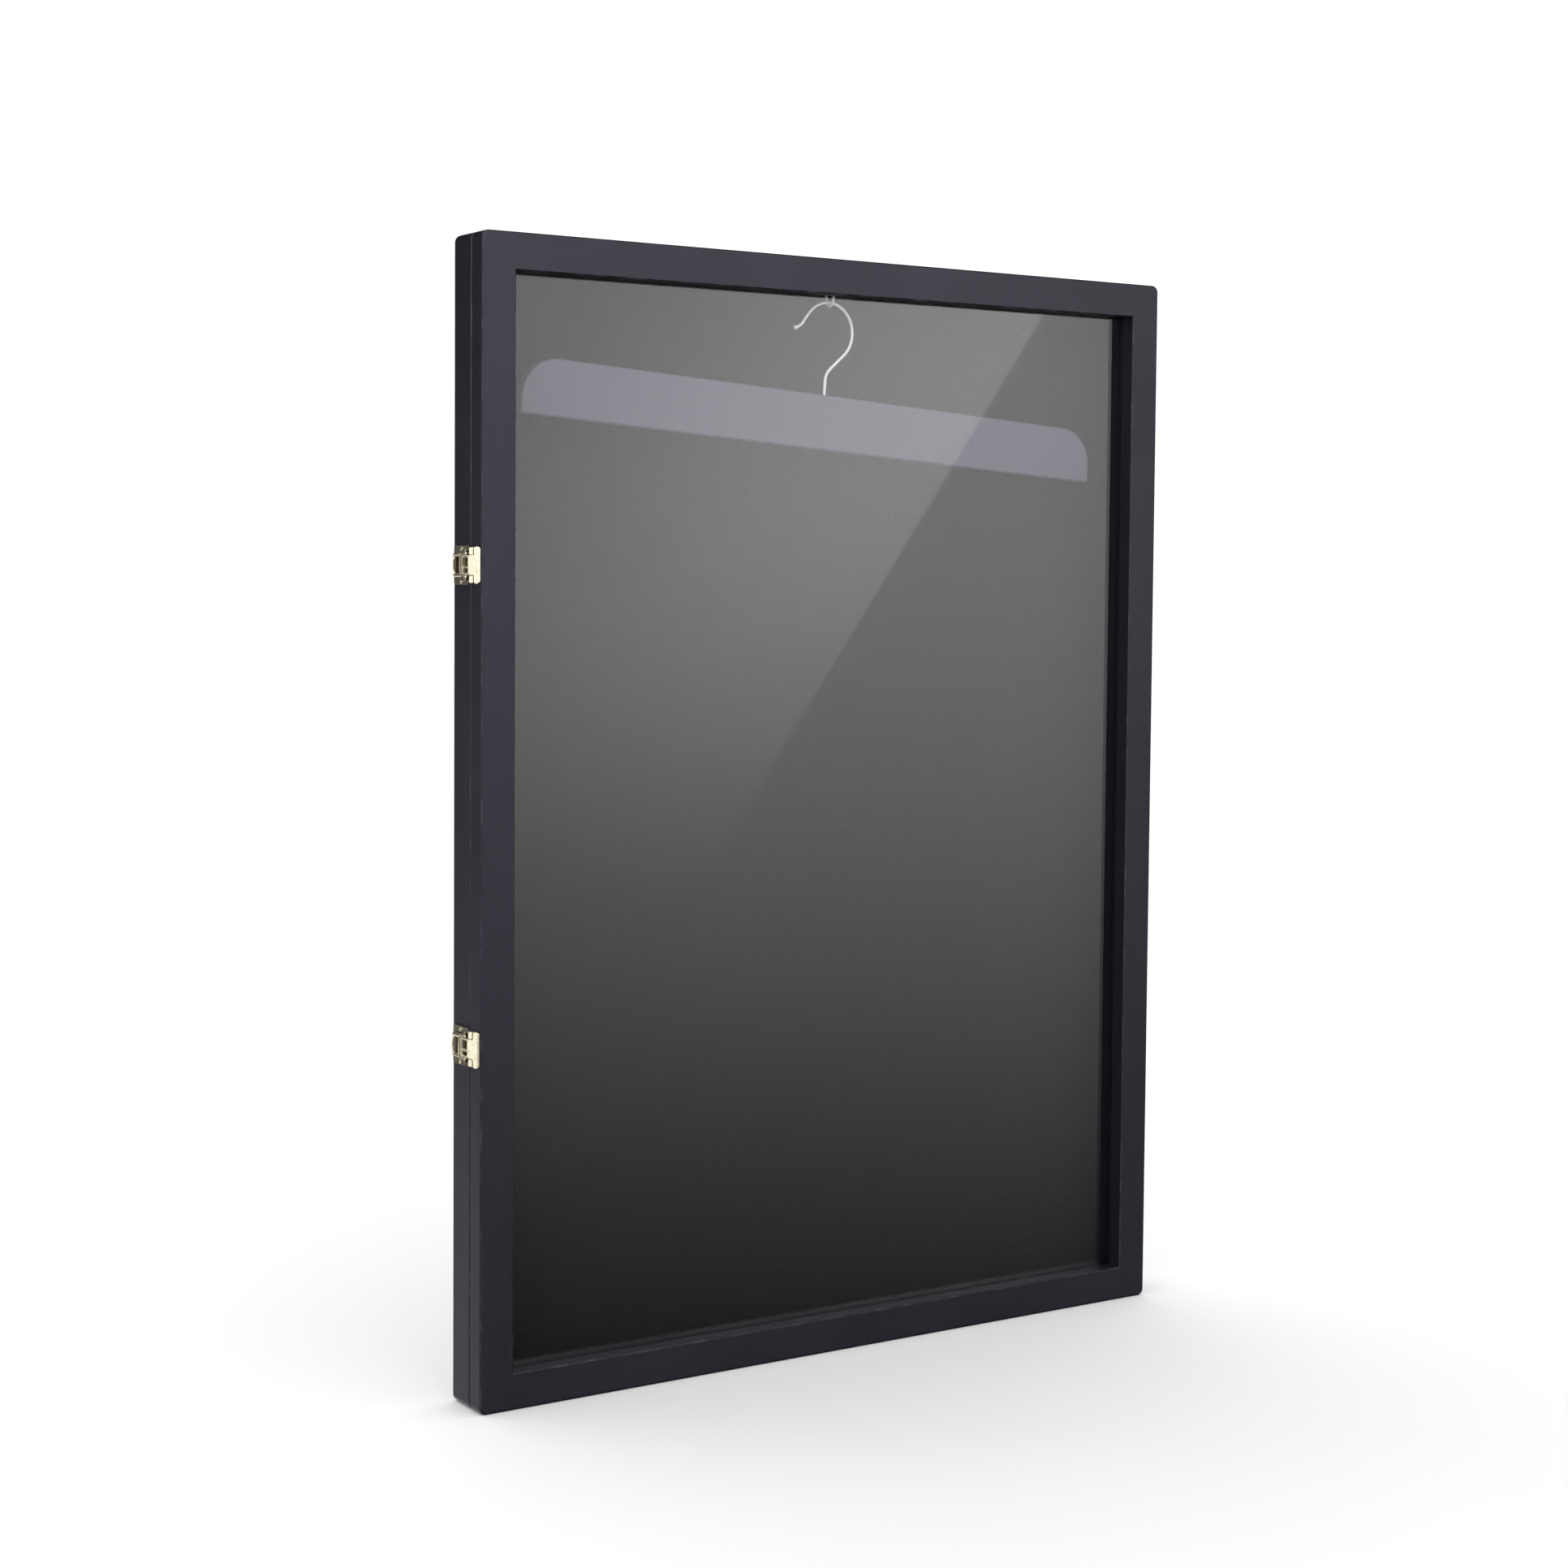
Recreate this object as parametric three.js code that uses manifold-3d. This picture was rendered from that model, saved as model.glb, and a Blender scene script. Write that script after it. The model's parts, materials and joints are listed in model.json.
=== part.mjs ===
// A wall-mounted jersey display frame: a shallow black wooden case with a hinged, glazed door,
// two brass draw latches on its left side and a clothes hanger on an eye under its top rail.
// Millimetres. +X is right and +Z is up as seen from the front, and the front faces -Y.
// The origin is the centre of the flat back, which lies against the wall at y = 0.
import * as THREE from "three";
import { mergeVertices } from "three/addons/utils/BufferGeometryUtils.js";
import Module from "manifold-3d";

// ---- Driving dimensions ----
const INCH = 25.4;
const WIDTH = 23.3 * INCH;
const HEIGHT = 31.3 * INCH;
const DEPTH = 1.6 * INCH;
const GAP = 0.3; // between pieces that rest on each other

const MOULDING = 25.4; // width of the door's face
const DOOR_DEPTH = 15.7;
const DOOR_SEAM = 0.5; // between the door and the case
const CORNER_RADIUS = 5;
const FACE_ARRIS = 1.8;
const INNER_ARRIS = 0.8;
const SMALL_ARRIS = 0.6;
const PANE_SET_BACK = 12.4; // from the door's face to the pane's seat
const PANE_REBATE = 7;
const PANE_THICKNESS = 1.8;
const MITRE_GAP = 0.15; // taken off each end of a rail

const CASE_WALL = 21;
const BACK_REBATE = 7;
const BACK_PANEL = 3;
const BACKING_BOARD = 3;
const FABRIC = 0.8;

const HANGER_PLANE_Y = -17.6;
const HANGER_TILT = THREE.MathUtils.degToRad(4); // right end low, as it was left on its eye
const EYE_Z = 366.2; // centre of the eye's wire at its lowest point
const EYE_WIRE = 1.0; // radius
const EYE_BEND = 4.5;
const EYE_LEG_DEPTH = 8; // in the wood
const HOOK_WIRE = 1.15; // radius
const HOOK_RADIUS = 21.3;
const BAR_LENGTH = 19.7 * INCH;
const BAR_HEIGHT = 40;
const BAR_THICKNESS = 9;
const BAR_CORNER = 28;
const BAR_DROP = 65; // from the eye to the bar's top edge
const SHANK_IN_BAR = 11;

const LATCH_HEIGHTS = { upper: 176, lower: -149 };
const HINGE_HEIGHTS = { upper: 265, lower: -265 };
const KEYHOLE_SPREAD = 200; // from the middle to each hanging plate

// ---- Derived places ----
const FRONT_Y = -DEPTH;
const DOOR_REAR_Y = FRONT_Y + DOOR_DEPTH;
const CASE_FRONT_Y = DOOR_REAR_Y + DOOR_SEAM;
const PANE_SEAT_Y = FRONT_Y + PANE_SET_BACK;
const PANE_FRONT_Y = PANE_SEAT_Y + GAP;
const PANE_REAR_Y = PANE_FRONT_Y + PANE_THICKNESS;
const CASE_INNER_Z = HEIGHT / 2 - CASE_WALL;

// ---- Materials ----
const finish = (name, color, roughness, metalness = 0) =>
  Object.assign(new THREE.MeshStandardMaterial({ color, roughness, metalness }), { name });

const LACQUER = finish("lacquer", 0x2f2d35, 0.42);
const HARDBOARD = finish("hardboard", 0x2b2622, 0.85);
const FELT = finish("felt", 0x1c1b1e, 1.0);
const ACRYLIC = Object.assign(finish("acrylic", 0xe6ebee, 0.05), { transparent: true, opacity: 0.25 });
const BRASS = finish("brass", 0xe2cf8f, 0.28, 1.0);
const STEEL = finish("steel", 0xb9b8bd, 0.35, 1.0);
const BAR_FINISH = finish("hanger_bar", 0x84818e, 0.5);

// ---- Solids ----
const wasm = await Module();
wasm.setup();

// A closed geometry as a solid. Triangles that a mitre has squeezed to nothing are left out.
function solid(geometry) {
  const bare = geometry.clone();
  bare.deleteAttribute("normal");
  bare.deleteAttribute("uv");
  const merged = mergeVertices(bare, 1e-4);
  const index = merged.index.array;
  const kept = [];
  for (let i = 0; i < index.length; i += 3) {
    const [a, b, c] = [index[i], index[i + 1], index[i + 2]];
    if (a !== b && b !== c && c !== a) kept.push(a, b, c);
  }
  const vertProperties = new Float32Array(merged.attributes.position.array);
  return new wasm.Manifold(new wasm.Mesh({ numProp: 3, vertProperties, triVerts: new Uint32Array(kept) }));
}

function geometryOf(body) {
  const { vertProperties, triVerts } = body.getMesh();
  const geometry = new THREE.BufferGeometry();
  geometry.setAttribute("position", new THREE.BufferAttribute(vertProperties, 3));
  geometry.setIndex(new THREE.BufferAttribute(triVerts, 1));
  geometry.computeVertexNormals();
  return geometry;
}

const joined = (...bodies) => bodies.reduce((all, body) => all.add(body));
const cut = (body, ...tools) => tools.reduce((left, tool) => left.subtract(tool), body);

function addPiece(parent, name, body, material) {
  const mesh = new THREE.Mesh(geometryOf(body), material);
  mesh.name = name;
  parent.add(mesh);
  return mesh;
}

function block([x0, x1], [y0, y1], [z0, z1]) {
  const box = new THREE.BoxGeometry(x1 - x0, y1 - y0, z1 - z0);
  return solid(box.translate((x0 + x1) / 2, (y0 + y1) / 2, (z0 + z1) / 2));
}

// A round bar from one point along an axis name, by a signed length.
function rod(radius, [x, y, z], axis, length, sides = 14) {
  const bar = new THREE.CylinderGeometry(radius, radius, Math.abs(length), sides);
  bar.translate(0, length / 2, 0);
  if (axis === "x") bar.rotateZ(-Math.PI / 2);
  if (axis === "z") bar.rotateX(Math.PI / 2);
  return solid(bar.translate(x, y, z));
}

// A screw whose head's underside is at the local origin, with its shank along -Y.
function screwBody({ headRadius, headHeight, shankRadius, shankLength }) {
  const profile = [
    new THREE.Vector2(0, -shankLength),
    new THREE.Vector2(shankRadius * 0.5, -shankLength + shankRadius),
    new THREE.Vector2(shankRadius, -shankLength + 3 * shankRadius),
    new THREE.Vector2(shankRadius, 0),
    new THREE.Vector2(headRadius, 0),
    new THREE.Vector2(headRadius, headHeight * 0.4),
    new THREE.Vector2(headRadius * 0.7, headHeight * 0.9),
    new THREE.Vector2(0, headHeight),
  ];
  return solid(new THREE.LatheGeometry(profile, 10));
}

function rectangleWithCorners(width, height, radius) {
  const [w, h] = [width / 2, height / 2];
  const shape = new THREE.Shape();
  shape.absarc(w - radius, -h + radius, radius, -Math.PI / 2, 0);
  shape.absarc(w - radius, h - radius, radius, 0, Math.PI / 2);
  shape.absarc(-w + radius, h - radius, radius, Math.PI / 2, Math.PI);
  shape.absarc(-w + radius, -h + radius, radius, Math.PI, 1.5 * Math.PI);
  return shape;
}

const extruded = (shape, depth, curveSegments = 2) =>
  new THREE.ExtrudeGeometry(shape, { depth, bevelEnabled: false, curveSegments });

// ---- Mitred rails ----
// A profile has x as the distance in from the frame's outer edge, and y as the part's own y.
// The rail runs along X with its outer edge up at z = half, and it is half of each rounded corner.
const CORNER_STEPS = 4;
const ARRIS_STEPS = 4;

function mitredRail(profile, length, half) {
  const steps = 2 * CORNER_STEPS + 1;
  const options = { depth: 1, steps, bevelEnabled: false, curveSegments: ARRIS_STEPS };
  const geometry = new THREE.ExtrudeGeometry(profile, options);
  const place = geometry.attributes.position;
  const reach = length / 2 - MITRE_GAP;
  for (let i = 0; i < place.count; i += 1) {
    const inset = place.getX(i);
    const station = Math.round(place.getZ(i) * steps);
    const side = station <= CORNER_STEPS ? -1 : 1;
    const turn = side < 0 ? CORNER_STEPS - station : station - CORNER_STEPS - 1;
    const angle = (turn / CORNER_STEPS) * (Math.PI / 4);
    const radius = CORNER_RADIUS - inset;
    const curved = radius > 0;
    const x = curved ? reach - CORNER_RADIUS + radius * Math.sin(angle) : reach - inset;
    const z = curved ? half - CORNER_RADIUS + radius * Math.cos(angle) : half - inset;
    place.setXYZ(i, side * x, place.getY(i), z);
  }
  return geometry;
}

const RAIL_TURNS = { top_rail: 0, right_stile: 1, bottom_rail: 2, left_stile: 3 };

function frameRails(profile) {
  const rails = {};
  for (const [name, turns] of Object.entries(RAIL_TURNS)) {
    const upright = turns % 2 === 1;
    const [length, half] = upright ? [HEIGHT, WIDTH / 2] : [WIDTH, HEIGHT / 2];
    rails[name] = solid(mitredRail(profile, length, half).rotateY((turns * Math.PI) / 2));
  }
  return rails;
}

function doorProfile() {
  const shape = new THREE.Shape();
  const seatInset = MOULDING - PANE_REBATE;
  shape.moveTo(0, DOOR_REAR_Y - SMALL_ARRIS);
  shape.lineTo(0, FRONT_Y + FACE_ARRIS);
  shape.absarc(FACE_ARRIS, FRONT_Y + FACE_ARRIS, FACE_ARRIS, Math.PI, 1.5 * Math.PI);
  shape.lineTo(MOULDING - INNER_ARRIS, FRONT_Y);
  shape.lineTo(MOULDING, FRONT_Y + INNER_ARRIS);
  shape.lineTo(MOULDING, PANE_SEAT_Y);
  shape.lineTo(seatInset, PANE_SEAT_Y);
  shape.lineTo(seatInset, DOOR_REAR_Y);
  shape.lineTo(SMALL_ARRIS, DOOR_REAR_Y);
  return shape;
}

function caseProfile() {
  const shape = new THREE.Shape();
  const rebateInset = CASE_WALL - BACK_REBATE;
  const rebateY = -BACK_PANEL - GAP;
  shape.moveTo(0, -SMALL_ARRIS);
  shape.lineTo(0, CASE_FRONT_Y + SMALL_ARRIS);
  shape.lineTo(SMALL_ARRIS, CASE_FRONT_Y);
  shape.lineTo(CASE_WALL, CASE_FRONT_Y);
  shape.lineTo(CASE_WALL, rebateY);
  shape.lineTo(rebateInset, rebateY);
  shape.lineTo(rebateInset, 0);
  shape.lineTo(SMALL_ARRIS, 0);
  return shape;
}

// A flat sheet that fits inside the frame at a given inset, between two y values.
function sheet(inset, [y0, y1]) {
  return block([-WIDTH / 2 + inset, WIDTH / 2 - inset], [y0, y1], [-HEIGHT / 2 + inset, HEIGHT / 2 - inset]);
}

const frame = new THREE.Group();
const caseCuts = { top_rail: [], right_stile: [], bottom_rail: [], left_stile: [] };
const doorCuts = { top_rail: [], right_stile: [], bottom_rail: [], left_stile: [] };

// ---- Back: panel, its screws, the backing board and its fabric ----
const PANEL_SCREW = { headRadius: 2.2, headHeight: 0.8, shankRadius: 1.1, shankLength: 10 };
const PANEL_SCREW_SEAT_Y = -1.1;
const PANEL_INSET = CASE_WALL - BACK_REBATE + GAP;
const PANEL_SCREW_INSET = CASE_WALL - BACK_REBATE / 2;
const BOARD_INSET = CASE_WALL + 0.4;
const HOLE_THROUGH = 2; // how far a head's hole runs on, out of the surface

function addBack() {
  const x = WIDTH / 2 - PANEL_SCREW_INSET;
  const z = HEIGHT / 2 - PANEL_SCREW_INSET;
  const places = {
    top_left: [-x * 0.5, z],
    top_right: [x * 0.5, z],
    left: [-x, 0],
    right: [x, 0],
    bottom_left: [-x * 0.5, -z],
    bottom_right: [x * 0.5, -z],
  };
  const panelHoles = [];
  for (const [name, [sx, sz]] of Object.entries(places)) {
    const rail = name.includes("_") ? `${name.split("_")[0]}_rail` : `${name}_stile`;
    const seat = [sx, PANEL_SCREW_SEAT_Y, sz];
    const bore = rod(PANEL_SCREW.shankRadius + GAP, seat, "y", -PANEL_SCREW.shankLength - GAP);
    caseCuts[rail].push(bore);
    panelHoles.push(bore, rod(PANEL_SCREW.headRadius + GAP, [sx, PANEL_SCREW_SEAT_Y - 0.1, sz], "y", HOLE_THROUGH));
    addPiece(frame, `back_screw_${name}`, screwBody(PANEL_SCREW), STEEL).position.set(...seat);
  }
  addPiece(frame, "back_panel", cut(sheet(PANEL_INSET, [-BACK_PANEL, 0]), ...panelHoles), HARDBOARD);
  const boardRear = -BACK_PANEL - GAP;
  const boardFront = boardRear - BACKING_BOARD;
  addPiece(frame, "backing_board", sheet(BOARD_INSET, [boardFront, boardRear]), HARDBOARD);
  const fabricRear = boardFront - GAP;
  addPiece(frame, "backing_fabric", sheet(BOARD_INSET, [fabricRear - FABRIC, fabricRear]), FELT);
}

// ---- Keyhole plates let into the back of the top rail ----
const PLATE = { width: 36, height: 12, thickness: 1.5, rearY: -0.1 };
const KEYHOLE = { entryRadius: 4, slotRadius: 1.8, entryZ: -1.4, slotZ: 3 };
const PLATE_SCREW = { headRadius: 2.2, headHeight: 0.6, shankRadius: 0.9, shankLength: 9 };
const PLATE_SCREW_X = 14.3;
const PLATE_INSET = 7.2; // from the frame's top to the plate's centre
const KEYHOLE_POCKET = { depth: 8.5, halfHeight: 5.8, spare: 0.5 };

function keyholeOutline() {
  const shape = rectangleWithCorners(PLATE.width, PLATE.height, 2);
  const hole = new THREE.Path();
  const { entryRadius, slotRadius, entryZ, slotZ } = KEYHOLE;
  const meet = Math.asin(slotRadius / entryRadius);
  const shoulderZ = entryZ + entryRadius * Math.cos(meet);
  hole.absarc(0, entryZ, entryRadius, Math.PI / 2 + meet, 2.5 * Math.PI - meet);
  hole.lineTo(slotRadius, Math.max(shoulderZ, slotZ));
  hole.absarc(0, slotZ, slotRadius, 0, Math.PI);
  shape.holes.push(hole);
  return shape;
}

function addKeyholePlate(side, x) {
  const group = new THREE.Group();
  const z = HEIGHT / 2 - PLATE_INSET;
  group.position.set(x, 0, z);
  frame.add(group);

  // The outline is drawn in X and Z, and its thickness runs from the rear into the wood.
  const outline = extruded(keyholeOutline(), PLATE.thickness, 5).rotateX(Math.PI / 2);
  let plate = solid(outline.translate(0, PLATE.rearY, 0));
  for (const [end, sx] of Object.entries({ outer: -PLATE_SCREW_X, inner: PLATE_SCREW_X })) {
    const seatY = PLATE.rearY - PLATE_SCREW.headHeight;
    plate = cut(
      plate,
      rod(PLATE_SCREW.shankRadius + GAP, [sx, 0, 0], "y", -PLATE_SCREW.shankLength),
      rod(PLATE_SCREW.headRadius + GAP, [sx, seatY - 0.2, 0], "y", HOLE_THROUGH),
    );
    const screw = addPiece(group, `keyhole_screw_${side}_${end}`, screwBody(PLATE_SCREW), STEEL);
    screw.position.set(sx, seatY, 0);
    caseCuts.top_rail.push(
      rod(PLATE_SCREW.shankRadius + GAP, [x + sx, 0, z], "y", -PLATE_SCREW.shankLength - 1.2),
    );
  }
  addPiece(group, `keyhole_plate_${side}`, plate, STEEL);

  const [halfWidth, halfHeight] = [PLATE.width / 2 + GAP, PLATE.height / 2 + GAP];
  const recess = PLATE.thickness + 2 * GAP;
  const pocket = KEYHOLE.entryRadius + KEYHOLE_POCKET.spare;
  const pocketZ = [z - KEYHOLE_POCKET.halfHeight, z + KEYHOLE_POCKET.halfHeight];
  caseCuts.top_rail.push(
    block([x - halfWidth, x + halfWidth], [-recess, 1], [z - halfHeight, z + halfHeight]),
    block([x - pocket, x + pocket], [-KEYHOLE_POCKET.depth, 0], pocketZ),
  );
}

// ---- Door: pane and the strips that hold it ----
const STRIP_WIDTH = 5.5;

function addGlazing() {
  const paneInset = MOULDING - PANE_REBATE + 0.4;
  addPiece(frame, "acrylic_pane", sheet(paneInset, [PANE_FRONT_Y, PANE_REAR_Y]), ACRYLIC);
  const y = [PANE_REAR_Y + GAP, DOOR_REAR_Y];
  const [x, z] = [WIDTH / 2 - paneInset, HEIGHT / 2 - paneInset];
  const upright = [-z + STRIP_WIDTH + GAP, z - STRIP_WIDTH - GAP];
  const strips = {
    top: [[-x, x], y, [z - STRIP_WIDTH, z]],
    bottom: [[-x, x], y, [-z, -z + STRIP_WIDTH]],
    left: [[-x, -x + STRIP_WIDTH], y, upright],
    right: [[x - STRIP_WIDTH, x], y, upright],
  };
  for (const [name, ranges] of Object.entries(strips)) {
    addPiece(frame, `pane_retainer_${name}`, block(...ranges), LACQUER);
  }
}

// ---- Door hinges, mortised into the right-hand seam ----
const HINGE_AXIS_Y = CASE_FRONT_Y - DOOR_SEAM / 2;
const HINGE = { tall: 40, axisOut: 2.5, axisY: HINGE_AXIS_Y, knuckle: 2.1, pin: 1.0, bore: 1.3 };
const LEAF = { reach: 13.9, thickness: 1.0, edge: 0.1 };
const KNUCKLE_SPLIT = 6.5; // half the height of the door leaf's own knuckle

// side is 1 for the leaf on the case, behind the seam, and -1 for the leaf on the door.
function hingeLeaf(side, knuckles) {
  const rearGap = GAP / 2;
  const near = HINGE.axisY + side * rearGap;
  const far = near + side * LEAF.thickness;
  const y = [Math.min(near, far), Math.max(near, far)];
  const half = HINGE.tall / 2;
  let leaf = block([-LEAF.reach, -LEAF.edge], y, [-half, half]);
  for (const [z0, z1] of knuckles) {
    leaf = joined(
      leaf,
      block([-LEAF.edge - 0.5, HINGE.axisOut], y, [z0, z1]),
      rod(HINGE.knuckle, [HINGE.axisOut, HINGE.axisY, z0], "z", z1 - z0, 16),
    );
  }
  return cut(leaf, rod(HINGE.bore, [HINGE.axisOut, HINGE.axisY, -half - 1], "z", HINGE.tall + 2));
}

function addHinge(side, z) {
  const group = new THREE.Group();
  group.position.set(WIDTH / 2, 0, z);
  frame.add(group);
  const half = HINGE.tall / 2;
  const outer = [[-half, -KNUCKLE_SPLIT - GAP], [KNUCKLE_SPLIT + GAP, half]];
  addPiece(group, `hinge_case_leaf_${side}`, hingeLeaf(1, outer), BRASS);
  addPiece(group, `hinge_door_leaf_${side}`, hingeLeaf(-1, [[-KNUCKLE_SPLIT, KNUCKLE_SPLIT]]), BRASS);
  const pin = joined(
    rod(HINGE.pin, [HINGE.axisOut, HINGE.axisY, -half - 0.6], "z", HINGE.tall + 1.2, 12),
    rod(HINGE.knuckle * 0.8, [HINGE.axisOut, HINGE.axisY, half + GAP], "z", 1.0, 12),
    rod(HINGE.knuckle * 0.8, [HINGE.axisOut, HINGE.axisY, -half - GAP], "z", -1.0, 12),
  );
  addPiece(group, `hinge_pin_${side}`, pin, BRASS);

  const depth = LEAF.thickness + 2 * GAP;
  const x = [WIDTH / 2 - LEAF.reach - GAP, WIDTH / 2 + 5];
  const mortise = [z - half - GAP, z + half + GAP];
  caseCuts.right_stile.push(block(x, [CASE_FRONT_Y - 1, HINGE.axisY + GAP / 2 + depth - GAP], mortise));
  doorCuts.right_stile.push(block(x, [HINGE.axisY - GAP / 2 - depth + GAP, DOOR_REAR_Y + 1], mortise));
}

// ---- Draw latches on the left side ----
// Each is drawn with x out from the case's side, y forward from the wall, and z up.
const LATCH = { halfHeight: 13.25, plate: [0.3, 1.1], rear: 2.2, front: 24.2, pivotX: 2.8, pivotY: 23.2 };
const LEVER = { rear: 4.4, plateFront: 16, halfWidth: 8.2, cheek: 1.1, rim: 3.2, crown: 4.3, skin: 0.9 };
const LEVER_WINDOW = { y: [7.6, 14], halfHeight: 5.4 };
const LOOP_PIN = { y: 18.8, radius: 0.55, halfLength: 8.25 };
const TEE = { halfStem: 6.6, halfHead: 12.25, headRear: 34, front: 38.8, level: [1.75, 2.75], knuckle: 1.25 };
const TEE_BEND = 28.2; // where the stem has come down to the head's level
const TEE_WINDOWS = { y: [20.9, 27.2], heights: [[-5.2, -2.3], [-0.7, 5.2]] };
const CATCH = { rear: 28.4, front: 38.8, top: 1.0, halfHeight: 12 };
const CATCH_EAR = { front: 32.8, inner: 7.0, outer: 11.9 };
const BASE_EAR = { inner: 8.6, outer: 9.9, radius: 1.9 };
const TRUNNION = 0.75;
const BARREL = 1.35; // round front end of the lever's cheeks
const LATCH_SCREW = { headRadius: 1.8, headHeight: 0.9, shankRadius: 0.9, shankLength: 9 };
const LATCH_SCREWS = { y: 13.5, heights: [-11, 11] };
const CATCH_RIVET = { headRadius: 1.5, headHeight: 0.3, shankRadius: 0.8, shankLength: 7 };
const CATCH_RIVETS = { y: 36.4, heights: [-9.4, 9.4] };
const THROUGH = [-1, 6]; // x range of a cut that goes right through a latch's piece

// A bore along the latch's height, through both sides of a piece.
const crossBore = (radius, y) => rod(radius, [LATCH.pivotX, y, -LATCH.halfHeight], "z", 2 * LATCH.halfHeight);

// Bores for screws or rivets through a plate that lies on the side.
const plateBores = ({ y, heights }, radius) =>
  heights.map((z) => rod(radius, [THROUGH[0], y, z], "x", THROUGH[1] - THROUGH[0]));

// A profile drawn in x (out) and y (forward), as a solid between two heights.
function profileSolid(shape, [z0, z1], curveSegments = 3) {
  return solid(extruded(shape, z1 - z0, curveSegments).translate(0, 0, z0));
}

// A plate lying on the side, with rounded corners, drawn in y and z.
function platePad([y0, y1], halfHeight, [x0, x1], radius) {
  const outline = rectangleWithCorners(2 * halfHeight, y1 - y0, radius);
  const pad = extruded(outline, x1 - x0).rotateY(Math.PI / 2);
  return solid(pad.translate(x0, (y0 + y1) / 2, 0));
}

function latchBase() {
  let base = platePad([LATCH.rear, LATCH.front], LATCH.halfHeight, LATCH.plate, 2);
  const ear = new THREE.Shape();
  const half = BASE_EAR.radius * 0.95;
  ear.moveTo(LATCH.plate[0] + 0.1, LATCH.pivotY + 1);
  ear.lineTo(LATCH.plate[0] + 0.1, LATCH.pivotY - half);
  ear.lineTo(LATCH.pivotX, LATCH.pivotY - BASE_EAR.radius);
  ear.absarc(LATCH.pivotX, LATCH.pivotY, BASE_EAR.radius, -Math.PI / 2, Math.PI / 2);
  ear.lineTo(LATCH.plate[1], LATCH.pivotY + 1);
  for (const sign of [-1, 1]) {
    const heights = [sign * BASE_EAR.inner, sign * BASE_EAR.outer].sort((a, b) => a - b);
    base = base.add(profileSolid(ear, heights));
  }
  const holes = plateBores(LATCH_SCREWS, LATCH_SCREW.shankRadius + GAP);
  return cut(base, crossBore(TRUNNION + GAP, LATCH.pivotY), ...holes);
}

// The lever: a plate domed across its height, two cheeks under it, and trunnions at its front end.
function latchLever() {
  const { halfWidth, cheek, rim, crown, skin, rear, plateFront } = LEVER;
  const bulge = crown - rim;
  const domeRadius = (halfWidth * halfWidth + bulge * bulge) / (2 * bulge);
  const centre = crown - domeRadius;
  const sweep = Math.asin(halfWidth / domeRadius);
  const arch = new THREE.Shape();
  arch.absarc(centre, 0, domeRadius, -sweep, sweep);
  arch.absarc(centre, 0, domeRadius - skin, sweep, -sweep, true);
  // The arch is drawn in x and z, and runs forward along y.
  let lever = solid(extruded(arch, plateFront - rear, 4).rotateX(-Math.PI / 2).translate(0, rear, 0));
  const side = new THREE.Shape();
  const bottom = LATCH.pivotX - BARREL;
  side.moveTo(bottom, rear + 1.2);
  side.lineTo(rim - 0.2, rear);
  side.lineTo(rim, plateFront);
  side.lineTo(LATCH.pivotX + BARREL, LOOP_PIN.y);
  side.lineTo(LATCH.pivotX + BARREL, LATCH.pivotY);
  side.absarc(LATCH.pivotX, LATCH.pivotY, BARREL, 0, Math.PI);
  for (const sign of [-1, 1]) {
    const heights = [sign * halfWidth, sign * (halfWidth - cheek)].sort((a, b) => a - b);
    const trunnion = rod(TRUNNION, [LATCH.pivotX, LATCH.pivotY, sign * (halfWidth - 0.2)], "z", sign * 1.9);
    lever = joined(lever, profileSolid(side, heights), trunnion);
  }
  const window = block(THROUGH, LEVER_WINDOW.y, [-LEVER_WINDOW.halfHeight, LEVER_WINDOW.halfHeight]);
  return cut(lever, window, crossBore(LOOP_PIN.radius + GAP, LOOP_PIN.y));
}

// The T-shaped loop: a windowed stem from its pin to a cross head in front of the catch's ears.
function latchLoop() {
  const [low, high] = TEE.level;
  const stem = new THREE.Shape();
  stem.absarc(LATCH.pivotX, LOOP_PIN.y, TEE.knuckle, Math.PI * 0.87, Math.PI * 2.13);
  stem.lineTo(LATCH.pivotX + 0.5, TEE_BEND - 2.6);
  stem.lineTo(high, TEE_BEND);
  stem.lineTo(high, TEE.front);
  stem.lineTo(low, TEE.front);
  stem.lineTo(low, TEE_BEND - 0.2);
  stem.lineTo(LATCH.pivotX - 0.5, TEE_BEND - 2.8);
  const head = platePad([TEE.headRear, TEE.front], TEE.halfHead, TEE.level, 1);
  const windows = TEE_WINDOWS.heights.map((heights) => block(THROUGH, TEE_WINDOWS.y, heights));
  const blank = joined(profileSolid(stem, [-TEE.halfStem, TEE.halfStem], 6), head);
  return cut(blank, ...windows, crossBore(LOOP_PIN.radius + GAP, LOOP_PIN.y));
}

function latchCatch() {
  const [bottom] = LATCH.plate;
  const earHalf = (CATCH_EAR.outer - CATCH_EAR.inner) / 2;
  const earMiddle = (CATCH_EAR.outer + CATCH_EAR.inner) / 2;
  let plate = platePad([CATCH.rear, CATCH.front], CATCH.halfHeight, [bottom, CATCH.top], 1.2);
  for (const sign of [-1, 1]) {
    const ear = platePad([CATCH.rear, CATCH_EAR.front], earHalf, [bottom, TEE.level[1]], 1);
    plate = plate.add(ear.translate([0, 0, sign * earMiddle]));
  }
  return cut(plate, ...plateBores(CATCH_RIVETS, CATCH_RIVET.shankRadius + GAP));
}

// Screws drawn along -Y are turned so that their shanks run into the side, along -X.
function addSideScrews(group, name, dims, x, { y, heights }) {
  heights.forEach((z, index) => {
    const screw = addPiece(group, `${name}_${index ? "top" : "bottom"}`, screwBody(dims), BRASS);
    screw.position.set(x, y, z);
    screw.rotation.z = -Math.PI / 2;
  });
}

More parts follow.
